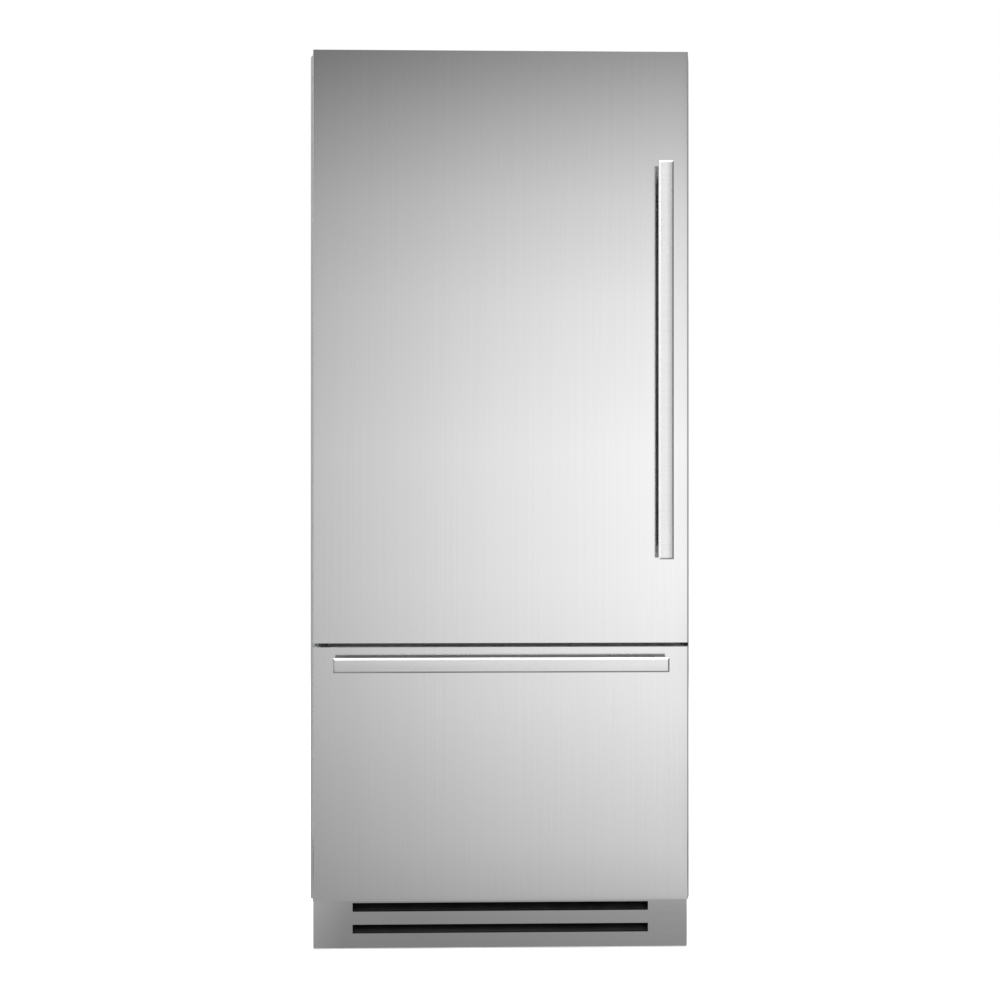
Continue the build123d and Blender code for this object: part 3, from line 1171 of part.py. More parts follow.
BASKET_FRONT = DOOR_BACK + DRAWER_DIKE_DEPTH + BASKET_CLEAR
CARRIER_FACE = CAVITY_X - SLIDE_DEPTH - FIT
CARRIER_INNER = CARRIER_FACE - CARRIER_SHEET
CARRIER_LOW = SLIDE_Z - SLIDE_HEIGHT / 2 - CARRIER_DROP
CARRIER_HIGH = SLIDE_Z + SLIDE_HEIGHT / 2
with BuildPart() as slide_inners:
    bar_half = SLIDE_HEIGHT / 2 - 2 * SLIDE_NEST
    neck_half = bar_half - SLIDE_LIP
    bar_span = (CAVITY_X - SLIDE_DEPTH + 2 * SLIDE_NEST, CAVITY_X - 2 * SLIDE_NEST)
    for side in SIDES:
        with BuildSketch(upright(SLIDE_BACK)) as inner_section:
            for span, low, high in ((bar_span, SLIDE_Z - bar_half, SLIDE_Z + bar_half),
                                    ((CARRIER_INNER, bar_span[0]), SLIDE_Z - neck_half, SLIDE_Z + neck_half)):
                with Locations((side * sum(span) / 2, (low + high) / 2)):
                    Rectangle(span[1] - span[0], high - low)
        extrude(inner_section.sketch, amount=SLIDE_LENGTH)
        face = side * CARRIER_INNER
        ledge = side * (CARRIER_INNER - CARRIER_LEDGE)
        carrier = [(face, CARRIER_HIGH), (face, CARRIER_LOW), (ledge, CARRIER_LOW)]
        bent_sheet(upright(SLIDE_BACK), carrier, side * CARRIER_SHEET, SLIDE_BACK - BASKET_FRONT,
                   CARRIER_SHEET)
        block(sorted((face, side * CARRIER_FACE)), (DOOR_BACK, BASKET_FRONT), (CARRIER_LOW, CARRIER_HIGH))
        foot_span = sorted((face, side * (CARRIER_INNER + CARRIER_FLANGE)))
        block(foot_span, (DOOR_BACK, DOOR_BACK + CARRIER_SHEET), (CARRIER_LOW, CARRIER_HIGH))
save(slide_inners, "slide_inners")

# Freezer basket: a deep tub with windows through its sides, hung by its rim on the carriers' ledges
RIM_LOW = CARRIER_LOW
BASKET_BACK = STEP_FRONT - BASKET_CLEAR
BASKET_BASE = FREEZER_FLOOR + BASKET_CLEAR
BASKET_HALF = CARRIER_INNER - CARRIER_LEDGE - FIT
with BuildPart() as freezer_basket:
    basket_depth = BASKET_BACK - BASKET_FRONT
    basket_middle = (0, (BASKET_FRONT + BASKET_BACK) / 2)
    top = (2 * BASKET_HALF, basket_depth)
    bottom = (2 * (BASKET_HALF - BASKET_TAPER), basket_depth - 2 * BASKET_TAPER)
    tub(basket_middle, top, bottom, (BASKET_BASE, RIM_LOW), BASKET_RADIUS, BASKET_WALL)
    with BuildSketch(Plane.XY.offset(RIM_LOW)):
        with Locations(basket_middle):
            RectangleRounded(2 * (CARRIER_INNER - BASKET_RIM_GAP), basket_depth, BASKET_RADIUS)
            RectangleRounded(2 * (BASKET_HALF - BASKET_WALL), basket_depth - 2 * BASKET_WALL,
                             BASKET_RADIUS - BASKET_WALL, mode=Mode.SUBTRACT)
    extrude(amount=BASKET_RIM)
    window_middle = (BASKET_BASE + RIM_LOW) / 2
    window_columns = int((2 * BASKET_HALF - 2 * WINDOW_PITCH) / WINDOW_PITCH)
    row_pitch = (RIM_LOW - BASKET_BASE - WINDOW_SILL) / WINDOW_ROWS
    with BuildSketch(upright(BASKET_BACK)):
        with Locations((0, window_middle)):
            with GridLocations(WINDOW_PITCH, row_pitch, window_columns, WINDOW_ROWS):
                Rectangle(WINDOW_WIDTH, WINDOW_HEIGHT)
    extrude(amount=basket_depth, mode=Mode.SUBTRACT)
save(freezer_basket, "freezer_basket")

# Shallow tray that slides on the basket's rim
with BuildPart() as freezer_tray:
    tray_base = RIM_LOW + BASKET_RIM + FIT
    tray_half = CARRIER_INNER - BASKET_RIM_GAP
    tray_front = BASKET_FRONT + TRAY_SETBACK
    tray_middle = (0, tray_front + TRAY_DEPTH / 2)
    tub(tray_middle, (2 * tray_half, TRAY_DEPTH), (2 * (tray_half - TRAY_TAPER), TRAY_DEPTH - 2 * TRAY_TAPER),
        (tray_base, tray_base + TRAY_HEIGHT), TRAY_RADIUS, TRAY_WALL)
save(freezer_tray, "freezer_tray")
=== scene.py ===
"""Dress a tall built-in refrigerator: finishes, small fittings, studio light and camera."""
import logging
import math
from dataclasses import dataclass, field
from enum import Enum

import bmesh
import bpy
from mathutils import Matrix, Vector


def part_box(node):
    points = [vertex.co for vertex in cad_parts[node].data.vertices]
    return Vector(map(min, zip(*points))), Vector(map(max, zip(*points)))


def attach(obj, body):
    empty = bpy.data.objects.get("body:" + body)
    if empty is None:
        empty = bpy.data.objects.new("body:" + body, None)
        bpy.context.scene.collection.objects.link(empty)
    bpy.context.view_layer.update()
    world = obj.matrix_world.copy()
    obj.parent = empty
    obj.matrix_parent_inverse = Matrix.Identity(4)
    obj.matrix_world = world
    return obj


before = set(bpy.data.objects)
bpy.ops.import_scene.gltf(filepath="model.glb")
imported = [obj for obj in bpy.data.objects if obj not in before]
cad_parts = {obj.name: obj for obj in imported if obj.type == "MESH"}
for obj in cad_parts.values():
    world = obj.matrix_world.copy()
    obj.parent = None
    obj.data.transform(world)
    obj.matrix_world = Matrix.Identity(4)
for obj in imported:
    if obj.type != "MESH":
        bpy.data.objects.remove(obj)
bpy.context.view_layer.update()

LOG = logging.getLogger("refrigerator")
MM = 0.001
FRAME_PIXELS = 1000  # side of the photograph
SHARP_ANGLE = math.radians(35)  # faces that meet at more than this keep a crisp edge
EDGE_SEGMENTS = 2  # faces across a rounded edge
QUARTER_TURN = 0.25  # the shader counts the rotation of its anisotropy in turns
BROAD_DETAIL = 2.0  # octaves of the noise that makes wiped marks and ripples
LINE_SPAN = (0.3, 0.7)  # the values between which a brushed surface's noise mostly lies
TONE_SPAN = (0.25, 0.75)  # the same for the patches of a solid finish


def linear(code: str) -> tuple[float, float, float, float]:
    """Turn an sRGB hex colour into linear light.

    Args:
        code: six hex digits.

    Returns:
        Red, green, blue and an alpha of one.
    """
    shares = [int(code[i:i + 2], 16) / 255 for i in (0, 2, 4)]
    return tuple(s / 12.92 if s <= 0.04045 else ((s + 0.055) / 1.055) ** 2.4 for s in shares) + (1.0,)


def add_node(tree: bpy.types.NodeTree, kind: str, settings: dict[str | int, object] | None = None,
             links: dict[str | int, bpy.types.NodeSocket] | None = None) -> bpy.types.Node:
    """Add one node with its settings and links.

    Args:
        tree: the material's or world's nodes.
        kind: Blender's name of the node's type.
        settings: inputs by name or number, attributes by name, or stops for a colour ramp.
        links: the sockets that feed its inputs.

    Returns:
        The new node.
    """
    node = tree.nodes.new(kind)
    for key, value in (settings or {}).items():
        if key == "stops":
            ramp = node.color_ramp
            while len(ramp.elements) < len(value):
                ramp.elements.new(1.0)
            for stop, (place, colour) in zip(ramp.elements, value):
                stop.position = place
                stop.color = colour
        elif isinstance(key, int) or key in node.inputs:
            node.inputs[key].default_value = value
        else:
            setattr(node, key, value)
    for key, source in (links or {}).items():
        tree.links.new(source, node.inputs[key])
    return node


class Grain(Enum):
    """The axis along which the fine lines of a brushed surface run."""

    UPRIGHT = 2
    LEVEL = 0


class Relief(Enum):
    """What gives a surface its fine relief and its change of tone."""

    PEEL = "ShaderNodeTexNoise"  # orange peel of paint and mouldings
    SPANGLE = "ShaderNodeTexVoronoi"  # crystals of hot-dip zinc


@dataclass(frozen=True)
class Finish:
    """One material, named for what it is and how its surface was made."""

    name: str

    def material(self) -> bpy.types.Material:
        """Make the material the first time that it is asked for.

        Returns:
            The material of this finish's name.
        """
        made = bpy.data.materials.get(self.name)
        if made is None:
            made = bpy.data.materials.new(self.name)
            made.use_nodes = True
            self.shade(made.node_tree, made.node_tree.nodes["Principled BSDF"])
        return made

    def shade(self, tree: bpy.types.NodeTree, shader: bpy.types.Node) -> None:
        """Fill the shader.

        Args:
            tree: the material's nodes.
            shader: its principled shader.
        """
        raise NotImplementedError


@dataclass(frozen=True)
class BrushedSteel(Finish):
    """Stainless steel brushed by a belt: a soft sheen, spread across the lines and streaked along them.

    The real lines are under 0.2 mm apart, which is too fine to show, so they are drawn a few mm wide.
    Sizes are in millimetres.
    """

    grain: Grain
    dark: str = "C7C7C7"
    light: str = "CACACA"
    roughness: float = 0.1
    roughness_play: float = 0.015
    line_width: float = 3.5
    line_length: float = 520.0
    hand_marks: float = 240.0  # size of the faint patches that wiping leaves
    spread: float = 0.3  # anisotropy: how far reflections are drawn out across the lines
    line_detail: float = 4.0
    line_breakup: float = 0.7
    line_depth: float = 0.02
    line_strength: float = 0.035

    def shade(self, tree: bpy.types.NodeTree, shader: bpy.types.Node) -> None:
        """Streak the colour and relief along the grain and vary the gloss in patches.

        Args:
            tree: the material's nodes.
            shader: its principled shader.
        """
        pitch = [1 / (self.line_width * MM)] * 3
        pitch[self.grain.value] = 1 / (self.line_length * MM)
        place = add_node(tree, "ShaderNodeTexCoord").outputs["Object"]
        drawn = add_node(tree, "ShaderNodeMapping", {"Scale": pitch}, {"Vector": place})
        lines = add_node(tree, "ShaderNodeTexNoise",
                         {"Scale": 1.0, "Detail": self.line_detail, "Roughness": self.line_breakup},
                         {"Vector": drawn.outputs["Vector"]})
        low, high = LINE_SPAN
        stops = ((low, linear(self.dark)), (high, linear(self.light)))
        colour = add_node(tree, "ShaderNodeValToRGB", {"stops": stops}, {"Fac": lines.outputs["Fac"]})
        marks = add_node(tree, "ShaderNodeTexNoise",
                         {"Scale": 1 / (self.hand_marks * MM), "Detail": BROAD_DETAIL}, {"Vector": place})
        gloss = add_node(tree, "ShaderNodeMapRange",
                         {"From Min": low, "From Max": high,
                          "To Min": self.roughness - self.roughness_play,
                          "To Max": self.roughness + self.roughness_play}, {"Value": marks.outputs["Fac"]})
        bump = add_node(tree, "ShaderNodeBump",
                        {"Strength": self.line_strength, "Distance": self.line_depth * MM},
                        {"Height": lines.outputs["Fac"]})
        round_axis = add_node(tree, "ShaderNodeTangent", {"direction_type": "RADIAL", "axis": "Z"})
        shader.inputs["Metallic"].default_value = 1.0
        shader.inputs["Anisotropic"].default_value = self.spread
        turn = 0.0 if self.grain is Grain.UPRIGHT else QUARTER_TURN
        shader.inputs["Anisotropic Rotation"].default_value = turn
        tree.links.new(colour.outputs["Color"], shader.inputs["Base Color"])
        tree.links.new(gloss.outputs["Result"], shader.inputs["Roughness"])
        tree.links.new(bump.outputs["Normal"], shader.inputs["Normal"])
        tree.links.new(round_axis.outputs["Tangent"], shader.inputs["Tangent"])


@dataclass(frozen=True)
class SolidFinish(Finish):
    """Paint, zinc, moulded plastic, rubber, foam or bare metal: a tone that shifts and a fine relief.

    Sizes are in millimetres.
    """

    dark: str
    light: str
    relief: Relief = Relief.PEEL
    relief_size: float = 1.5
    relief_depth: float = 0.05
    tone_size: float = 60.0
    roughness: float = 0.4
    roughness_play: float = 0.06
    metallic: float = 0.0
    relief_strength: float = 0.3

    def shade(self, tree: bpy.types.NodeTree, shader: bpy.types.Node) -> None:
        """Shift the tone in patches, break the gloss and raise the relief.

        Args:
            tree: the material's nodes.
            shader: its principled shader.
        """
        place = add_node(tree, "ShaderNodeTexCoord").outputs["Object"]
        texture = add_node(tree, self.relief.value,
                           {"Scale": 1 / (self.relief_size * MM)}, {"Vector": place})
        patches = add_node(tree, self.relief.value,
                           {"Scale": 1 / (self.tone_size * MM)}, {"Vector": place})
        height = texture.outputs["Fac" if self.relief is Relief.PEEL else "Distance"]
        tone = patches.outputs["Fac" if self.relief is Relief.PEEL else "Color"]
        low, high = TONE_SPAN
        stops = ((low, linear(self.dark)), (high, linear(self.light)))
        colour = add_node(tree, "ShaderNodeValToRGB", {"stops": stops}, {"Fac": tone})
        gloss = add_node(tree, "ShaderNodeMapRange",
                         {"From Min": low, "From Max": high,
                          "To Min": self.roughness - self.roughness_play,
                          "To Max": self.roughness + self.roughness_play}, {"Value": tone})
        bump = add_node(tree, "ShaderNodeBump",
                        {"Strength": self.relief_strength, "Distance": self.relief_depth * MM},
                        {"Height": height})
        shader.inputs["Metallic"].default_value = self.metallic
        tree.links.new(colour.outputs["Color"], shader.inputs["Base Color"])
        tree.links.new(gloss.outputs["Result"], shader.inputs["Roughness"])
        tree.links.new(bump.outputs["Normal"], shader.inputs["Normal"])


@dataclass(frozen=True)
class ClearFinish(Finish):
    """Glass or clear plastic: light passes, with a faint tint and the slow ripple of its making.

    Sizes are in millimetres.
    """

    tint: str
    ior: float
    roughness: float = 0.03
    ripple: float = 90.0
    ripple_depth: float = 0.08
    cover: float = 1.0  # share of the light that the surface bends, the rest passes straight on
    ripple_strength: float = 0.2
    roughness_play: float = 0.5  # the share of its roughness by which the surface varies

    def shade(self, tree: bpy.types.NodeTree, shader: bpy.types.Node) -> None:
        """Let light through and ripple the surface.

        Args:
            tree: the material's nodes.
            shader: its principled shader.
        """
        place = add_node(tree, "ShaderNodeTexCoord").outputs["Object"]
        waves = add_node(tree, "ShaderNodeTexNoise",
                         {"Scale": 1 / (self.ripple * MM), "Detail": BROAD_DETAIL}, {"Vector": place})
        play = self.roughness * self.roughness_play
        gloss = add_node(tree, "ShaderNodeMapRange",
                         {"To Min": self.roughness - play, "To Max": self.roughness + play},
                         {"Value": waves.outputs["Fac"]})
        bump = add_node(tree, "ShaderNodeBump",
                        {"Strength": self.ripple_strength, "Distance": self.ripple_depth * MM},
                        {"Height": waves.outputs["Fac"]})
        shader.inputs["Base Color"].default_value = linear(self.tint)
        shader.inputs["IOR"].default_value = self.ior
        shader.inputs["Transmission Weight"].default_value = 1.0
        shader.inputs["Alpha"].default_value = self.cover
        tree.links.new(gloss.outputs["Result"], shader.inputs["Roughness"])
        tree.links.new(bump.outputs["Normal"], shader.inputs["Normal"])


# A soft upright sheen with faint streaks, in which the room is mirrored and drawn out sideways.
STEEL_UPRIGHT = BrushedSteel("stainless_sheet_brushed_upright", Grain.UPRIGHT)
# The same sheet with its streaks running level.
STEEL_LEVEL = BrushedSteel("stainless_sheet_brushed_level", Grain.LEVEL)
# A paler, broader sheen that shows light and dark but no clear picture.
STEEL_BAR = BrushedSteel("stainless_bar_satin", Grain.LEVEL, "C8C8C8", "D0D0D0", roughness=0.28,
                         roughness_play=0.02, spread=1.0)
# An even mid grey with a slight orange peel in its highlights.
COATED_STEEL = SolidFinish("steel_sheet_coated_grey", "A0A1A2", "A4A5A6", relief_size=2.4, tone_size=420.0,
                           roughness=0.36, roughness_play=0.03)
# A cold patchwork of dull and bright crystals.
ZINC_SHEET = SolidFinish("steel_sheet_hot_dip_zinc", "9EA2A5", "BABDBF", Relief.SPANGLE, relief_size=9.0,
                         relief_depth=0.02, tone_size=9.0, roughness=0.42, roughness_play=0.1, metallic=1.0)
# A clean, pale, silvery shine.
ZINC_PLATE = SolidFinish("steel_bright_zinc_plated", "B4B6B9", "C9CBCD", tone_size=25.0, roughness=0.3,
                         metallic=1.0)
# Nearly black, with a low gloss.
BLACK_STEEL = SolidFinish("steel_black_enamel", "141415", "1D1D1E", relief_size=2.2, roughness=0.38)
# Cream, matt and coarse.
FOAM = SolidFinish("polyurethane_foam_cast", "DCCB95", "E6D8A9", relief_size=2.4, relief_depth=0.4,
                   roughness=0.85)
# White and softly glossy, with the slow ripple of sheet drawn over a mould.
WHITE_LINER = SolidFinish("polystyrene_sheet_vacuum_formed", "EEEFEE", "F4F4F3", relief_size=9.0,
                          relief_depth=0.04)
# White with a fine, even mould grain.
WHITE_TRIM = SolidFinish("abs_moulded_white", "E9EAEA", "F0F0F0", relief_size=0.9, relief_depth=0.03,
                         roughness=0.42)
# Mid grey and dull.
GASKET = SolidFinish("pvc_gasket_extruded_grey", "8D9092", "9A9C9E", relief_size=1.2, roughness=0.55)
# Nearly black with a fine mould grain.
BLACK_PLASTIC = SolidFinish("abs_moulded_black", "111112", "19191A", relief_size=0.8, roughness=0.45)
# Light grey with the same grain.
GREY_PLASTIC = SolidFinish("abs_moulded_grey", "D3D4D5", "DBDCDD", relief_size=0.8, roughness=0.45)
# Black and matt, with hardly a highlight.
RUBBER = SolidFinish("rubber_moulded_black", "161616", "202020", relief_size=1.6, roughness=0.75)
# A pale metal with a soft shine.
ALUMINIUM = SolidFinish("aluminium_rolled_bare", "BFC1C3", "D2D4D5", tone_size=18.0, roughness=0.35,
                        metallic=1.0)
# Milky white and half matt.
NYLON = SolidFinish("nylon_moulded_white", "DEDCD5", "E8E6E0", relief_size=1.2, roughness=0.45)
# Black, with a gloss like that of glass.
DARK_WINDOW = SolidFinish("acrylic_window_smoked", "0B0C0E", "121316", relief_size=30.0, roughness=0.08)
# Clear, with a faint green cast.
GLASS = ClearFinish("glass_float_toughened", "EAF4EF", 1.52, 0.01, cover=0.5)
# Clear and slightly wavy, with a cold cast.
CLEAR_PLASTIC = ClearFinish("polystyrene_clear_moulded", "F4F8FA", 1.57, 0.05, 40.0, cover=0.45)
# Milky: it spreads what light comes through.
LAMP_LENS = ClearFinish("acrylic_lens_opal", "FBFBF6", 1.49, 0.45, 6.0)


def dress(finish: Finish, *nodes: str) -> None:
    """Give CAD nodes a finish.

    Args:
        finish: what they are made of.
        nodes: their names.
    """
    for node in nodes:
        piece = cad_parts[node]
        if not piece.material_slots:
            piece.data.materials.append(None)
        for slot in piece.material_slots:
            slot.material = finish.material()
        LOG.info("dressed %s with %s", node, finish.name)


def settle(shape: bmesh.types.BMesh, name: str, finish: Finish, body: str) -> bpy.types.Object:
    """Turn a finished shape into a piece that rides on a body.

    Args:
        shape: the piece's mesh, in place. It is freed.
        name: the piece's name.
        finish: what it is made of.
        body: the body that carries it.

    Returns:
        The new object.
    """
    mesh = bpy.data.meshes.new(name)
    shape.to_mesh(mesh)
    shape.free()
    mesh.shade_smooth()
    mesh.set_sharp_from_angle(angle=SHARP_ANGLE)
    mesh.materials.append(finish.material())
    piece = bpy.data.objects.new(name, mesh)
    bpy.context.scene.collection.objects.link(piece)
    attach(piece, body)
    LOG.info("built %s on %s", name, body)
    return piece


def soften(shape: bmesh.types.BMesh, edges: list[bmesh.types.BMEdge], width: float) -> None:
    """Round edges off.

    A mesh is softened once, when all its parts are in, because Blender numbers what is added after a bevel
    differently in each run.

    Args:
        shape: the mesh.
        edges: the edges to round.
        width: how far the rounding reaches, in metres.
    """
    bmesh.ops.bevel(shape, geom=edges, offset=width, offset_type="OFFSET", segments=EDGE_SEGMENTS,
                    profile=0.5, affect="EDGES", material=-1)


def facing(place: Vector, normal: Vector) -> Matrix:
    """A place on a surface, with Z along the surface's normal."""
    return Matrix.Translation(place) @ normal.to_track_quat("Z", "Y").to_matrix().to_4x4()


def edges_among(shape: bmesh.types.BMesh, points: set[bmesh.types.BMVert]) -> list[bmesh.types.BMEdge]:
    """The edges that join some points of a mesh, in the mesh's own order."""
    return [e for e in shape.edges if points.issuperset(e.verts)]


def plate(shape: bmesh.types.BMesh, size: Vector, place: Matrix) -> list[bmesh.types.BMEdge]:
    """Add a flat plate.

    Args:
        shape: the mesh to add to.
        size: its width, height and thickness.
        place: the middle of its back, with Z outwards.

    Returns:
        Its edges, for softening.
    """
    made = bmesh.ops.create_cube(shape, size=1.0)["verts"]
    bmesh.ops.scale(shape, vec=size, verts=made)
    bmesh.ops.translate(shape, vec=(0, 0, size.z / 2), verts=made)
    bmesh.ops.transform(shape, matrix=place, verts=made)
    return edges_among(shape, set(made))


def disc(shape: bmesh.types.BMesh, sides: int, size: tuple[float, float],
         place: Matrix) -> list[bmesh.types.BMEdge]:
    """Add a round or many-sided disc.

    Args:
        shape: the mesh to add to.
        sides: how many sides it has.
        size: its radius and thickness.
        place: the middle of its back, with Z outwards.

    Returns:
        The edges of its outer rim, for softening.
    """
    radius, depth = size
    middle = place @ Matrix.Translation((0, 0, depth / 2))
    made = bmesh.ops.create_cone(shape, cap_ends=True, segments=sides, radius1=radius, radius2=radius,
                                 depth=depth, matrix=middle)["verts"]
    local = place.inverted()
    crown = sorted(made, key=lambda v: (local @ v.co).z)[-sides:]
    return edges_among(shape, set(crown))


@dataclass
class HexScrew:
    """A washer-headed hexagon screw, of which only the head shows."""

    washer: float = 6.5 * MM  # its radius
    hexagon: float = 4.4 * MM  # the radius of its corners
    rim: float = 0.9 * MM  # the washer's thickness
    height: float = 2.8 * MM
    edge: float = 0.35 * MM
    washer_sides: int = 24
    hexagon_sides: int = 6

    def add(self, shape: bmesh.types.BMesh, place: Matrix) -> list[bmesh.types.BMEdge]:
        """Add one head.

        Args:
            shape: the mesh to add to.
            place: where the screw goes in, with Z outwards.

        Returns:
            The edges of its two rims.
        """
        rim = disc(shape, self.washer_sides, (self.washer, self.rim), place)
        return rim + disc(shape, self.hexagon_sides, (self.hexagon, self.height), place)

    def row(self, name: str, places: list[Matrix], finish: Finish, body: str, slot: str) -> None:
        """Make one piece of several heads.

        Args:
            name: the piece's name.
            places: where they go in.
            finish: what they are made of.
            body: the body that carries them.
            slot: the record's material slot; not used.
        """
        shape = bmesh.new()
        rims = [edge for place in places for edge in self.add(shape, place)]
        soften(shape, rims, self.edge)
        settle(shape, name, finish, body)


@dataclass
class Cabinet:
    """The shell, its base and hinges, with their screws, the gap's buffers and the slots' blades."""

    screw: HexScrew = field(default_factory=HexScrew)
    edge_inset: float = 9.0 * MM  # from the sheet's edge to a screw
    bead_rise: float = 2.0 * MM  # the back's beads stand this far out of its sheet
    rear_rows: int = 6
    strap_bolt: HexScrew = field(default_factory=lambda: HexScrew(4.3 * MM, 3.6 * MM, 0.8 * MM, 3.4 * MM))
    strap_bolt_back: float = 35.0 * MM  # from the strap's end to the middle of its bolts
    strap_bolt_gap: tuple[float, float] = (22.0 * MM, 30.0 * MM)
    leg_screw: HexScrew = field(default_factory=lambda: HexScrew(5.2 * MM, 3.6 * MM, 0.8 * MM, 2.6 * MM))
    leg_sheet: float = 2.5 * MM  # the thickness of the lower hinge's leg
    leg_screw_gap: float = 25.0 * MM
    leg_screw_inset: float = 6.5 * MM
    # The middle, width and reach of each buffer.
    buffers: tuple[tuple[float, float, float], ...] = ((446.5 * MM, 7.0 * MM, 45.0 * MM),
                                                       (438.0 * MM, 6.0 * MM, 12.0 * MM))
    buffer_height: float = 9.0 * MM
    buffer_edge: float = 1.0 * MM
    slot_drops: tuple[float, ...] = (27.0 * MM, 79.0 * MM)  # from the kick plate's top to the slots' feet
    slot_lip: float = 9.0 * MM  # how far the slots' edges are turned inwards
    blade_width: float = 709.0 * MM
    blade_run: float = 16.5 * MM
    blade_rise: float = 14.0 * MM
    blade_sheet: float = 0.8 * MM
    blade_edge: float = 0.2 * MM

    def build(self) -> None:
        """Dress the shell and fit its screws, buffers and blades."""
        dress(COATED_STEEL, "cabinet_wrapper", "mullion_trim")
        dress(ZINC_SHEET, "rear_panel", "cabinet_floor", "base_frame")
        dress(FOAM, "cabinet_insulation")
        dress(WHITE_LINER, "fridge_liner", "freezer_liner")
        dress(STEEL_LEVEL, "kick_plate")
        dress(BLACK_STEEL, "upper_hinge", "lower_hinge")
        dress(ZINC_PLATE, "foot_left", "foot_right")
        dress(NYLON, "roller_left", "roller_right")
        self.fit_rear_screws()
        self.fit_hinge_bolts()
        self.fit_buffers()
        self.fit_slot_blades()

    def fit_rear_screws(self) -> None:
        """Screws down both edges of the back sheet and along its top and bottom."""
        low, high = (Vector(c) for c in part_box("rear_panel"))
        face = high.y - self.bead_rise
        side = high.x - self.edge_inset
        bottom, top = low.z + self.edge_inset, high.z - self.edge_inset
        spots = [(x, bottom + (top - bottom) * i / (self.rear_rows - 1))
                 for x in (-side, side) for i in range(self.rear_rows)]
        third = side / 3
        spots += [(x, z) for x in (-third, third) for z in (bottom, top)]
        places = [facing(Vector((x, face, z)), Vector((0, 1, 0))) for x, z in spots]
        self.screw.row("rear_panel_screws", places, ZINC_PLATE, "cabinet", "zinc_steel")

    def fit_hinge_bolts(self) -> None:
        """Bolts sunk in the holes of the upper hinge's strap, and screws through the lower hinge's leg."""
        low, high = (Vector(c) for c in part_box("upper_hinge"))
        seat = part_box("cabinet_wrapper")[1][2]
        middle = Vector(((low.x + high.x) / 2, high.y - self.strap_bolt_back, seat))
        gap_x, gap_y = self.strap_bolt_gap
        places = [facing(middle + Vector((i * gap_x / 2, j * gap_y / 2, 0)), Vector((0, 0, 1)))
                  for i in (-1, 1) for j in (-1, 1)]
        self.strap_bolt.row("upper_hinge_bolts", places, ZINC_PLATE, "cabinet", "zinc_steel")
        screw_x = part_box("lower_hinge")[0][0] + self.leg_screw_inset
        leg_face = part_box("cabinet_wrapper")[0][1] - self.leg_sheet
        levels = [self.gap_level() + s * self.leg_screw_gap for s in (-1, 0, 1)]
        places = [facing(Vector((screw_x, leg_face, level)), Vector((0, -1, 0))) for level in levels]
        self.leg_screw.row("lower_hinge_screws", places, ZINC_PLATE, "cabinet", "zinc_steel")

    def gap_level(self) -> float:
        """The height of the middle of the gap between door and drawer."""
        return (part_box("drawer_panel")[1][2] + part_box("door_panel")[0][2]) / 2

    def fit_buffers(self) -> None:
        """Two rubber buffers at the right end of the gap between the fronts."""
        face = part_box("cabinet_wrapper")[0][1]
        shape = bmesh.new()
        edges = []
        for middle, width, reach in self.buffers:
            place = facing(Vector((middle, face, self.gap_level())), Vector((0, -1, 0)))
            edges += plate(shape, Vector((width, self.buffer_height, reach)), place)
        soften(shape, edges, self.buffer_edge)
        settle(shape, "gap_buffers", RUBBER, "cabinet")

    def fit_slot_blades(self) -> None:
        """A dark blade behind each slot of the kick plate, from the slot's lip up to the back."""
        low, high = (Vector(c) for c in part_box("kick_plate"))
        normal = Vector((0, -self.blade_rise, self.blade_run))  # as long as the blade is deep
        size = Vector((self.blade_width, normal.length, self.blade_sheet))
        depth = low.y + self.slot_lip + self.blade_run / 2
        shape = bmesh.new()
        edges = []
        for drop in self.slot_drops:
            middle = Vector((0, depth, high.z - drop + self.blade_rise / 2))
            edges += plate(shape, size, facing(middle, normal.normalized()))
        soften(shape, edges, self.blade_edge)
        settle(shape, "kick_slot_blades", BLACK_STEEL, "cabinet")


@dataclass
class MachineBay:
    """Compressor, condenser and fan behind the vented cover at the bottom of the back."""

    screw: HexScrew = field(default_factory=HexScrew)
    edge_inset: float = 8.0 * MM

    def build(self) -> None:
        """Dress the machinery and fit the cover's screws."""
        dress(BLACK_STEEL, "compressor")
        dress(RUBBER, "compressor_grommets")
        dress(BLACK_PLASTIC, "drain_pan", "fan_shroud", "condenser_fan")
        dress(ALUMINIUM, "condenser")
        dress(ZINC_SHEET, "machine_cover")
        low, high = (Vector(c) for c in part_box("machine_cover"))
        across = (low.x + self.edge_inset, 0.0, high.x - self.edge_inset)
        rows = (low.z + self.edge_inset, high.z - self.edge_inset)
        places = [facing(Vector((x, high.y, z)), Vector((0, 1, 0))) for x in across for z in rows]
        self.screw.row("machine_cover_screws", places, ZINC_PLATE, "cabinet", "zinc_steel")


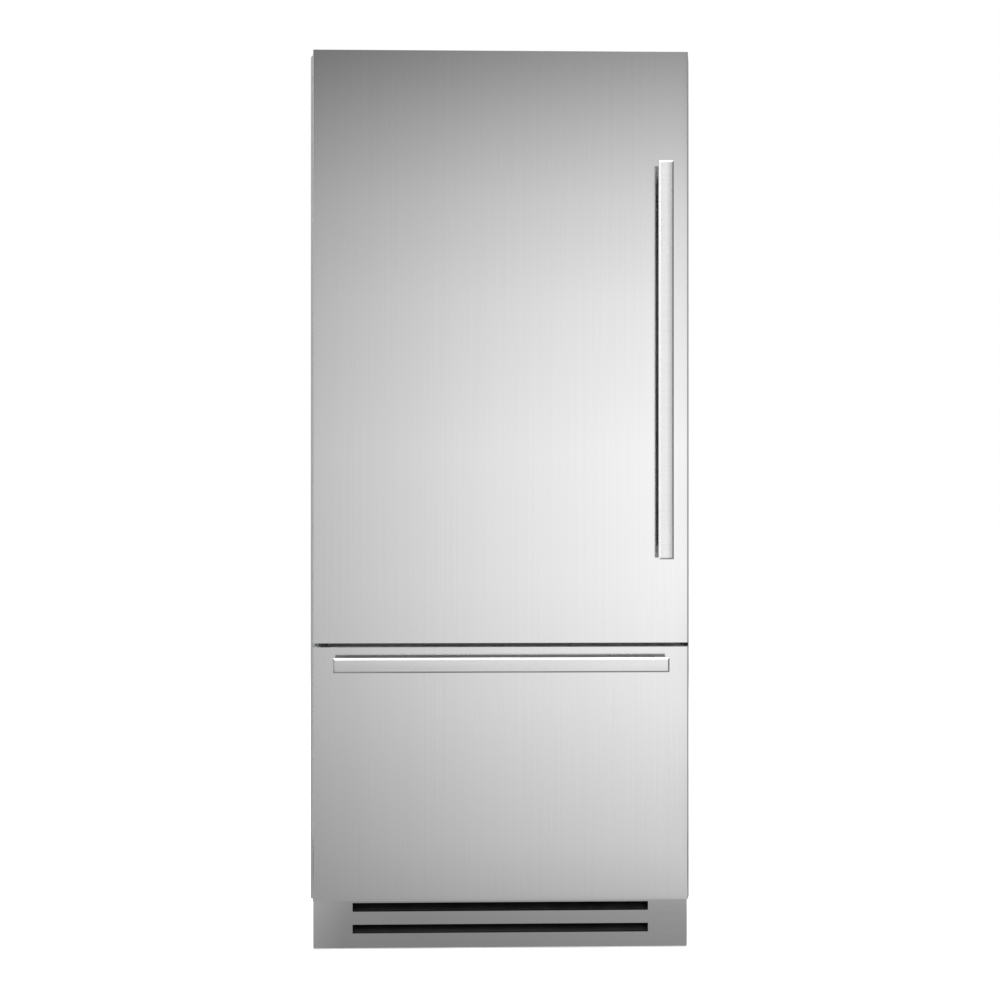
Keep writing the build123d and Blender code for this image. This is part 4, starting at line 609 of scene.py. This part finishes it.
@dataclass
class ColdStore:
    """What is inside the two compartments: shelves, crispers, air ways, control panel and lamp."""

    shelves: int = 4
    lens_size: tuple[float, float] = (219.2 * MM, 41.2 * MM)
    lens_back: float = 42.0 * MM  # from the panel's rear edge to the lens's middle
    lens_ridges: int = 36
    lens_ridge: float = 0.8 * MM
    lens_sheet: float = 1.0 * MM
    key_radius: float = 5.2 * MM
    key_pitch: float = 26.0 * MM
    key_rise: float = 0.9 * MM
    key_edge: float = 0.4 * MM
    key_sides: int = 32
    window_size: tuple[float, float] = (58.0 * MM, 12.0 * MM)
    window_edge: float = 0.3 * MM
    control_drop: float = 9.5 * MM  # from the control panel's top to the middle of the keys

    def build(self) -> None:
        """Dress the fittings and make the lamp's lens, the keys and the window."""
        for number in range(1, self.shelves + 1):
            dress(WHITE_TRIM, f"shelf_frame_{number}")
            dress(GLASS, f"shelf_glass_{number}")
        dress(CLEAR_PLASTIC, "crisper_left", "crisper_right")
        dress(WHITE_TRIM, "air_duct", "control_panel", "evaporator_cover")
        dress(ALUMINIUM, "evaporator")
        dress(NYLON, "evaporator_fan")
        self.make_lens()
        self.make_controls()

    def make_lens(self) -> None:
        """A ridged lens let into the underside of the control panel."""
        low, high = (Vector(c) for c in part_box("control_panel"))
        width, depth = self.lens_size
        shape = bmesh.new()
        bmesh.ops.create_grid(shape, x_segments=2 * self.lens_ridges, y_segments=1, size=0.5)
        bmesh.ops.scale(shape, vec=(width, depth, 1), verts=shape.verts)
        pitch = width / (2 * self.lens_ridges)
        ridges = [v for v in shape.verts if round((v.co.x + width / 2) / pitch) % 2]
        bmesh.ops.translate(shape, vec=(0, 0, -self.lens_ridge), verts=ridges)
        middle = Vector((0, high.y - self.lens_back, low.z + self.lens_ridge))
        bmesh.ops.translate(shape, vec=middle, verts=shape.verts)
        lens = settle(shape, "lamp_lens", LAMP_LENS, "cabinet")
        sheet = lens.modifiers.new("sheet", "SOLIDIFY")
        sheet.thickness = self.lens_sheet
        sheet.offset = 1.0

    def make_controls(self) -> None:
        """A row of round keys and a plain dark window on the control panel's front."""
        low, high = (Vector(c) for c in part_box("control_panel"))
        front = Vector((0, -1, 0))
        level = high.z - self.control_drop
        window = Vector((*self.window_size, self.key_rise))
        shape = bmesh.new()
        edges = plate(shape, window, facing(Vector((0, low.y, level)), front))
        soften(shape, edges, self.window_edge)
        settle(shape, "control_window", DARK_WINDOW, "cabinet")
        shape = bmesh.new()
        start = self.window_size[0] / 2 + self.key_pitch
        rims = []
        for x in (-start - self.key_pitch, -start, start, start + self.key_pitch):
            place = facing(Vector((x, low.y, level)), front)
            rims += disc(shape, self.key_sides, (self.key_radius, self.key_rise), place)
        soften(shape, rims, self.key_edge)
        settle(shape, "control_keys", NYLON, "cabinet")


@dataclass
class Front:
    """The door or the drawer: a brushed sheet with its handle, caps, foam, liner and seal."""

    name: str
    finishes: dict[Finish, tuple[str, ...]]

    def build(self) -> None:
        """Dress the front and what it carries."""
        dress(STEEL_UPRIGHT, f"{self.name}_panel")
        dress(STEEL_BAR, f"{self.name}_handle_bar", f"{self.name}_handle_posts")
        dress(GREY_PLASTIC, f"{self.name}_end_caps")
        dress(FOAM, f"{self.name}_insulation")
        dress(WHITE_LINER, f"{self.name}_liner")
        dress(GASKET, f"{self.name}_gasket")
        for finish, nodes in self.finishes.items():
            dress(finish, *nodes)


@dataclass
class Lamp:
    """One soft box. Its size is in metres and its power in watts."""

    name: str
    place: tuple[float, float, float]
    size: float
    power: float

    def build(self, aim: Vector) -> None:
        """Hang the soft box.

        Args:
            aim: what it points at.
        """
        light = bpy.data.lights.new(self.name, "AREA")
        light.size = self.size
        light.energy = self.power
        lamp = bpy.data.objects.new(self.name, light)
        lamp.location = self.place
        lamp.rotation_euler = (aim - Vector(self.place)).to_track_quat("-Z", "Y").to_euler()
        lamp.visible_glossy = False
        bpy.context.scene.collection.objects.link(lamp)


@dataclass
class Card:
    """A sheet of light that only reflections see.

    It starts as an edge and is drawn out along its runs. Its light is the product of its slopes. Each slope
    is a direction, and the light at distances along it, in metres.
    """

    name: str
    edge: tuple[tuple[float, float, float], tuple[float, float, float]]
    runs: tuple[tuple[float, float, float], ...]
    slopes: tuple[tuple[tuple[float, float, float], tuple[tuple[float, float], ...]], ...]

    def shape(self) -> bmesh.types.BMesh:
        """Draw the first edge out, run by run.

        Returns:
            The card's mesh.
        """
        made = bmesh.new()
        edge = made.edges.new([made.verts.new(p) for p in self.edge])
        for run in self.runs:
            drawn = bmesh.ops.extrude_edge_only(made, edges=[edge])["geom"]
            ends = [g for g in drawn if isinstance(g, bmesh.types.BMVert)]
            bmesh.ops.translate(made, vec=run, verts=ends)
            edge = next(g for g in drawn
                        if isinstance(g, bmesh.types.BMEdge) and all(v in ends for v in g.verts))
        return made

    def light(self, tree: bpy.types.NodeTree) -> None:
        """Grade the card's light along each slope.

        Args:
            tree: its material's nodes, empty so far.
        """
        place = add_node(tree, "ShaderNodeTexCoord").outputs["Object"]
        strength = None
        for direction, stops in self.slopes:
            run = add_node(tree, "ShaderNodeVectorMath",
                           {"operation": "DOT_PRODUCT", 1: direction}, {0: place})
            first, last = stops[0][0], stops[-1][0]
            share = add_node(tree, "ShaderNodeMapRange", {"From Min": first, "From Max": last},
                             {"Value": run.outputs["Value"]})
            top = max(light for _, light in stops)
            graded = [((at - first) / (last - first), (light / top,) * 3 + (1.0,)) for at, light in stops]
            ramp = add_node(tree, "ShaderNodeValToRGB", {"stops": graded}, {"Fac": share.outputs["Result"]})
            scaled = add_node(tree, "ShaderNodeMath",
                              {"operation": "MULTIPLY", 1: top}, {0: ramp.outputs["Color"]})
            if strength is not None:
                scaled = add_node(tree, "ShaderNodeMath", {"operation": "MULTIPLY"},
                                  {0: scaled.outputs["Value"], 1: strength.outputs["Value"]})
            strength = scaled
        glow = add_node(tree, "ShaderNodeEmission", None, {"Strength": strength.outputs["Value"]})
        add_node(tree, "ShaderNodeOutputMaterial", None, {"Surface": glow.outputs["Emission"]})


# The front card runs forwards along the floor, then up a wall. Its light is given along that run, and from
# left to right. The kick plate mirrors a card of its own. A long light on the left and a bright sheet above
# make the bars' white edges, and the front card's dark band on the right makes their dark ones. The right
# card lights the panels' right edges, and two cards on the floor tone the panels' sides.
CARDS = (
    Card("front_card", ((-1.7, -0.8, 0.002), (1.7, -0.8, 0.002)), ((0, -0.7, 0), (0, 0, 3.398)),
         (((0, -1, 1), ((0.8, 0.7), (1.5, 0.85), (1.95, 1.12), (2.3, 1.26), (2.7, 1.3), (3.16, 1.15),
                        (3.47, 0.93), (3.7, 0.69), (3.9, 0.46), (4.0, 0.36), (4.1, 0.36), (4.25, 3.2),
                        (4.9, 3.2))),
          ((1, 0, 0), ((-1.6, 0.5), (-1.1, 0.3), (-0.75, 0.5), (-0.5, 0.71), (-0.24, 0.85), (0.03, 1.0),
                       (0.3, 1.12), (0.61, 1.24), (0.66, 0.75), (0.75, 0.35), (0.9, 0.2), (1.2, 0.3),
                       (1.6, 0.5))))),
    Card("floor_card", ((-1.7, -0.262, 0.002), (1.7, -0.262, 0.002)), ((0, -0.538, 0),),
         (((0, -1, 0), ((0.262, 0.9), (0.8, 1.08))),
          ((1, 0, 0), ((-0.6, 0.6), (-0.48, 0.55), (-0.38, 0.4), (-0.2, 0.39), (0.2, 0.45), (0.6, 0.51))))),
    Card("left_card", ((-1.7, -1.5, 0.0), (-1.7, -1.5, 3.4)), ((0, 4.0, 0),),
         (((0, 1, 0), ((-1.5, 0.5), (-0.85, 0.4), (-0.75, 2.4), (-0.35, 2.4), (-0.25, 0.12), (0.1, 0.3),
                       (2.5, 0.3))),)),
    Card("right_card", ((1.7, -1.5, 0.0), (1.7, -1.5, 3.4)), ((0, 4.0, 0),),
         (((0, 1, 0), ((-1.5, 0.7), (-0.42, 0.9), (-0.3, 0.3), (2.5, 0.3))),)),
    Card("left_floor_card", ((-0.46, -0.255, 0.002), (-0.46, 2.5, 0.002)), ((-1.24, 0, 0),),
         (((-1, 0, 0), ((0.46, 0.6), (1.7, 0.3))),)),
    Card("right_floor_card", ((0.46, -0.255, 0.002), (0.46, 2.5, 0.002)), ((1.24, 0, 0),),
         (((1, 0, 0), ((0.46, 0.6), (1.7, 0.25))),)),
    Card("top_card", ((-1.7, -1.5, 3.4), (1.7, -1.5, 3.4)), ((0, 1.7, 0),),
         (((0, 1, 0), ((-1.5, 3.2), (-1.1, 4.0), (-0.3, 4.0), (0.2, 0.6))),)),
)


def seen(tree: bpy.types.NodeTree) -> bpy.types.NodeSocket:
    """One where the camera, a mirror or a glass looks, and nought for scattered light.

    Args:
        tree: the nodes to add it to.

    Returns:
        The socket.
    """
    rays = add_node(tree, "ShaderNodeLightPath")
    first = add_node(tree, "ShaderNodeMath", {"operation": "MAXIMUM"},
                     {0: rays.outputs["Is Camera Ray"], 1: rays.outputs["Is Glossy Ray"]})
    both = add_node(tree, "ShaderNodeMath", {"operation": "MAXIMUM"},
                    {0: first.outputs["Value"], 1: rays.outputs["Is Transmission Ray"]})
    return both.outputs["Value"]


@dataclass
class Studio:
    """Pale floor, white surroundings, soft boxes, reflection cards and the photograph's camera.

    Lengths are in metres.
    """

    camera_place: tuple[float, float, float] = (-0.129, -4.730, 1.161)
    camera_pan: float = -1.633  # degrees, below nought to the right
    camera_tilt: float = 0.166  # degrees, upwards
    focal_pixels: float = 1862.5
    rise_pixels: float = 40.0  # how far the frame sits below the lens's axis
    sensor: float = 36.0  # millimetres
    ambient: float = 0.5
    floor_tone: str = "E6E6E6"
    # the dark of a shadow painted on the floor under the cabinet
    painted_floor_shadow: str = "1C1C1C"
    floor_lift: float = 0.62  # light that the floor adds where it is seen, so that it reads white
    floor_half: float = 14.0
    covered_half: tuple[float, float] = (0.449, 0.301)  # half width and depth of what the base covers
    covered_middle: tuple[float, float] = (0.0, 0.0465)
    covered_fade: tuple[float, float] = (0.03, 0.08)  # how far in from its edges it is fully dark
    aim: tuple[float, float, float] = (0.0, 0.0, 1.1)
    lamps: tuple[Lamp, ...] = (Lamp("key_soft_box", (-2.2, -4.2, 3.6), 2.4, 150.0),
                               Lamp("fill_soft_box", (2.8, -3.8, 1.8), 2.4, 70.0),
                               Lamp("rear_soft_box", (0.8, 4.2, 3.2), 2.4, 130.0))
    cards: tuple[Card, ...] = CARDS

    def build(self) -> None:
        """Set the stage."""
        bpy.context.scene.view_settings.view_transform = "Standard"
        self.set_world()
        self.lay_floor()
        for card in self.cards:
            piece, tree = self.place_stage(card.shape(), card.name)
            card.light(tree)
            for look in ("camera", "diffuse", "transmission", "volume_scatter", "shadow"):
                setattr(piece, f"visible_{look}", False)
        for lamp in self.lamps:
            lamp.build(Vector(self.aim))
        self.set_camera()

    def set_world(self) -> None:
        """White where it is seen, a soft even light elsewhere."""
        world = bpy.data.worlds.new("studio_white")
        world.use_nodes = True
        tree = world.node_tree
        tree.nodes.clear()
        white = add_node(tree, "ShaderNodeBackground", {"Color": linear("FFFFFF"), "Strength": 1.0})
        even = add_node(tree, "ShaderNodeBackground", {"Color": linear("FFFFFF"), "Strength": self.ambient})
        mixed = add_node(tree, "ShaderNodeMixShader", None,
                         {0: seen(tree), 1: even.outputs["Background"], 2: white.outputs["Background"]})
        add_node(tree, "ShaderNodeOutputWorld", None, {"Surface": mixed.outputs["Shader"]})
        bpy.context.scene.world = world

    def place_stage(self, shape: bmesh.types.BMesh,
                    name: str) -> tuple[bpy.types.Object, bpy.types.NodeTree]:
        """Put a stage piece into the scene with an empty material.

        Args:
            shape: its mesh. It is freed.
            name: its name.

        Returns:
            The object, and its material's nodes with nothing in them.
        """
        mesh = bpy.data.meshes.new(name)
        shape.to_mesh(mesh)
        shape.free()
        finish = bpy.data.materials.new(name)
        finish.use_nodes = True
        finish.node_tree.nodes.clear()
        mesh.materials.append(finish)
        piece = bpy.data.objects.new(name, mesh)
        bpy.context.scene.collection.objects.link(piece)
        return piece, finish.node_tree

    def lay_floor(self) -> None:
        """A pale floor that reads white but keeps the shadow at the base, with a shadow painted dark under
        the cabinet.
        """
        shape = bmesh.new()
        bmesh.ops.create_grid(shape, x_segments=1, y_segments=1, size=self.floor_half)
        _, tree = self.place_stage(shape, "studio_floor")
        place = add_node(tree, "ShaderNodeTexCoord").outputs["Object"]
        axes = add_node(tree, "ShaderNodeSeparateXYZ", None, {"Vector": place})
        sides = []
        spans = zip("XY", self.covered_middle, self.covered_half, self.covered_fade)
        for axis, middle, half, fade in spans:
            away = add_node(tree, "ShaderNodeMath",
                            {"operation": "SUBTRACT", 1: middle}, {0: axes.outputs[axis]})
            far = add_node(tree, "ShaderNodeMath", {"operation": "ABSOLUTE"}, {0: away.outputs["Value"]})
            side = add_node(tree, "ShaderNodeMapRange",
                            {"interpolation_type": "SMOOTHSTEP", "From Min": half, "From Max": half - fade},
                            {"Value": far.outputs["Value"]})
            sides.append(side)
        # a painted shadow: one inside the base's footprint, fading out at its edges; there the floor turns
        # dark and loses its lift
        shadow_mask = add_node(tree, "ShaderNodeMath", {"operation": "MULTIPLY"},
                           {i: side.outputs["Result"] for i, side in enumerate(sides)})
        tone = add_node(tree, "ShaderNodeValToRGB",
                        {"stops": ((0.0, linear(self.floor_tone)), (1.0, linear(self.painted_floor_shadow)))},
                        {"Fac": shadow_mask.outputs["Value"]})
        bare = add_node(tree, "ShaderNodeMapRange", {"To Min": self.floor_lift, "To Max": 0.0},
                        {"Value": shadow_mask.outputs["Value"]})
        lift = add_node(tree, "ShaderNodeMath", {"operation": "MULTIPLY"},
                        {0: seen(tree), 1: bare.outputs["Result"]})
        pale = add_node(tree, "ShaderNodeBsdfDiffuse", None, {"Color": tone.outputs["Color"]})
        glow = add_node(tree, "ShaderNodeEmission", None, {"Strength": lift.outputs["Value"]})
        both = add_node(tree, "ShaderNodeAddShader", None,
                        {0: pale.outputs["BSDF"], 1: glow.outputs["Emission"]})
        add_node(tree, "ShaderNodeOutputMaterial", None, {"Surface": both.outputs["Shader"]})

    def set_camera(self) -> None:
        """Stand where the photograph was taken from."""
        lens = bpy.data.cameras.new("photograph")
        lens.sensor_width = self.sensor
        lens.lens = self.focal_pixels / FRAME_PIXELS * self.sensor
        lens.shift_y = -self.rise_pixels / FRAME_PIXELS
        camera = bpy.data.objects.new("photograph", lens)
        camera.location = self.camera_place
        camera.rotation_euler = (math.radians(90 + self.camera_tilt), 0, math.radians(self.camera_pan))
        bpy.context.scene.collection.objects.link(camera)
        bpy.context.scene.camera = camera


def main() -> None:
    """Build and dress every sub-assembly, then set the studio."""
    logging.basicConfig(level=logging.INFO, format="%(message)s")
    door_extras = {BLACK_PLASTIC: ("hinge_bushes",),
                   CLEAR_PLASTIC: ("door_bin_1", "door_bin_2", "door_bin_3")}
    drawer_extras = {ZINC_PLATE: ("slide_outers", "slide_mids", "slide_inners"),
                     WHITE_TRIM: ("freezer_basket",),
                     CLEAR_PLASTIC: ("freezer_tray",)}
    for assembly in (Cabinet(), MachineBay(), ColdStore(), Front("door", door_extras),
                     Front("drawer", drawer_extras), Studio()):
        assembly.build()


if __name__ == "__main__":
    main()
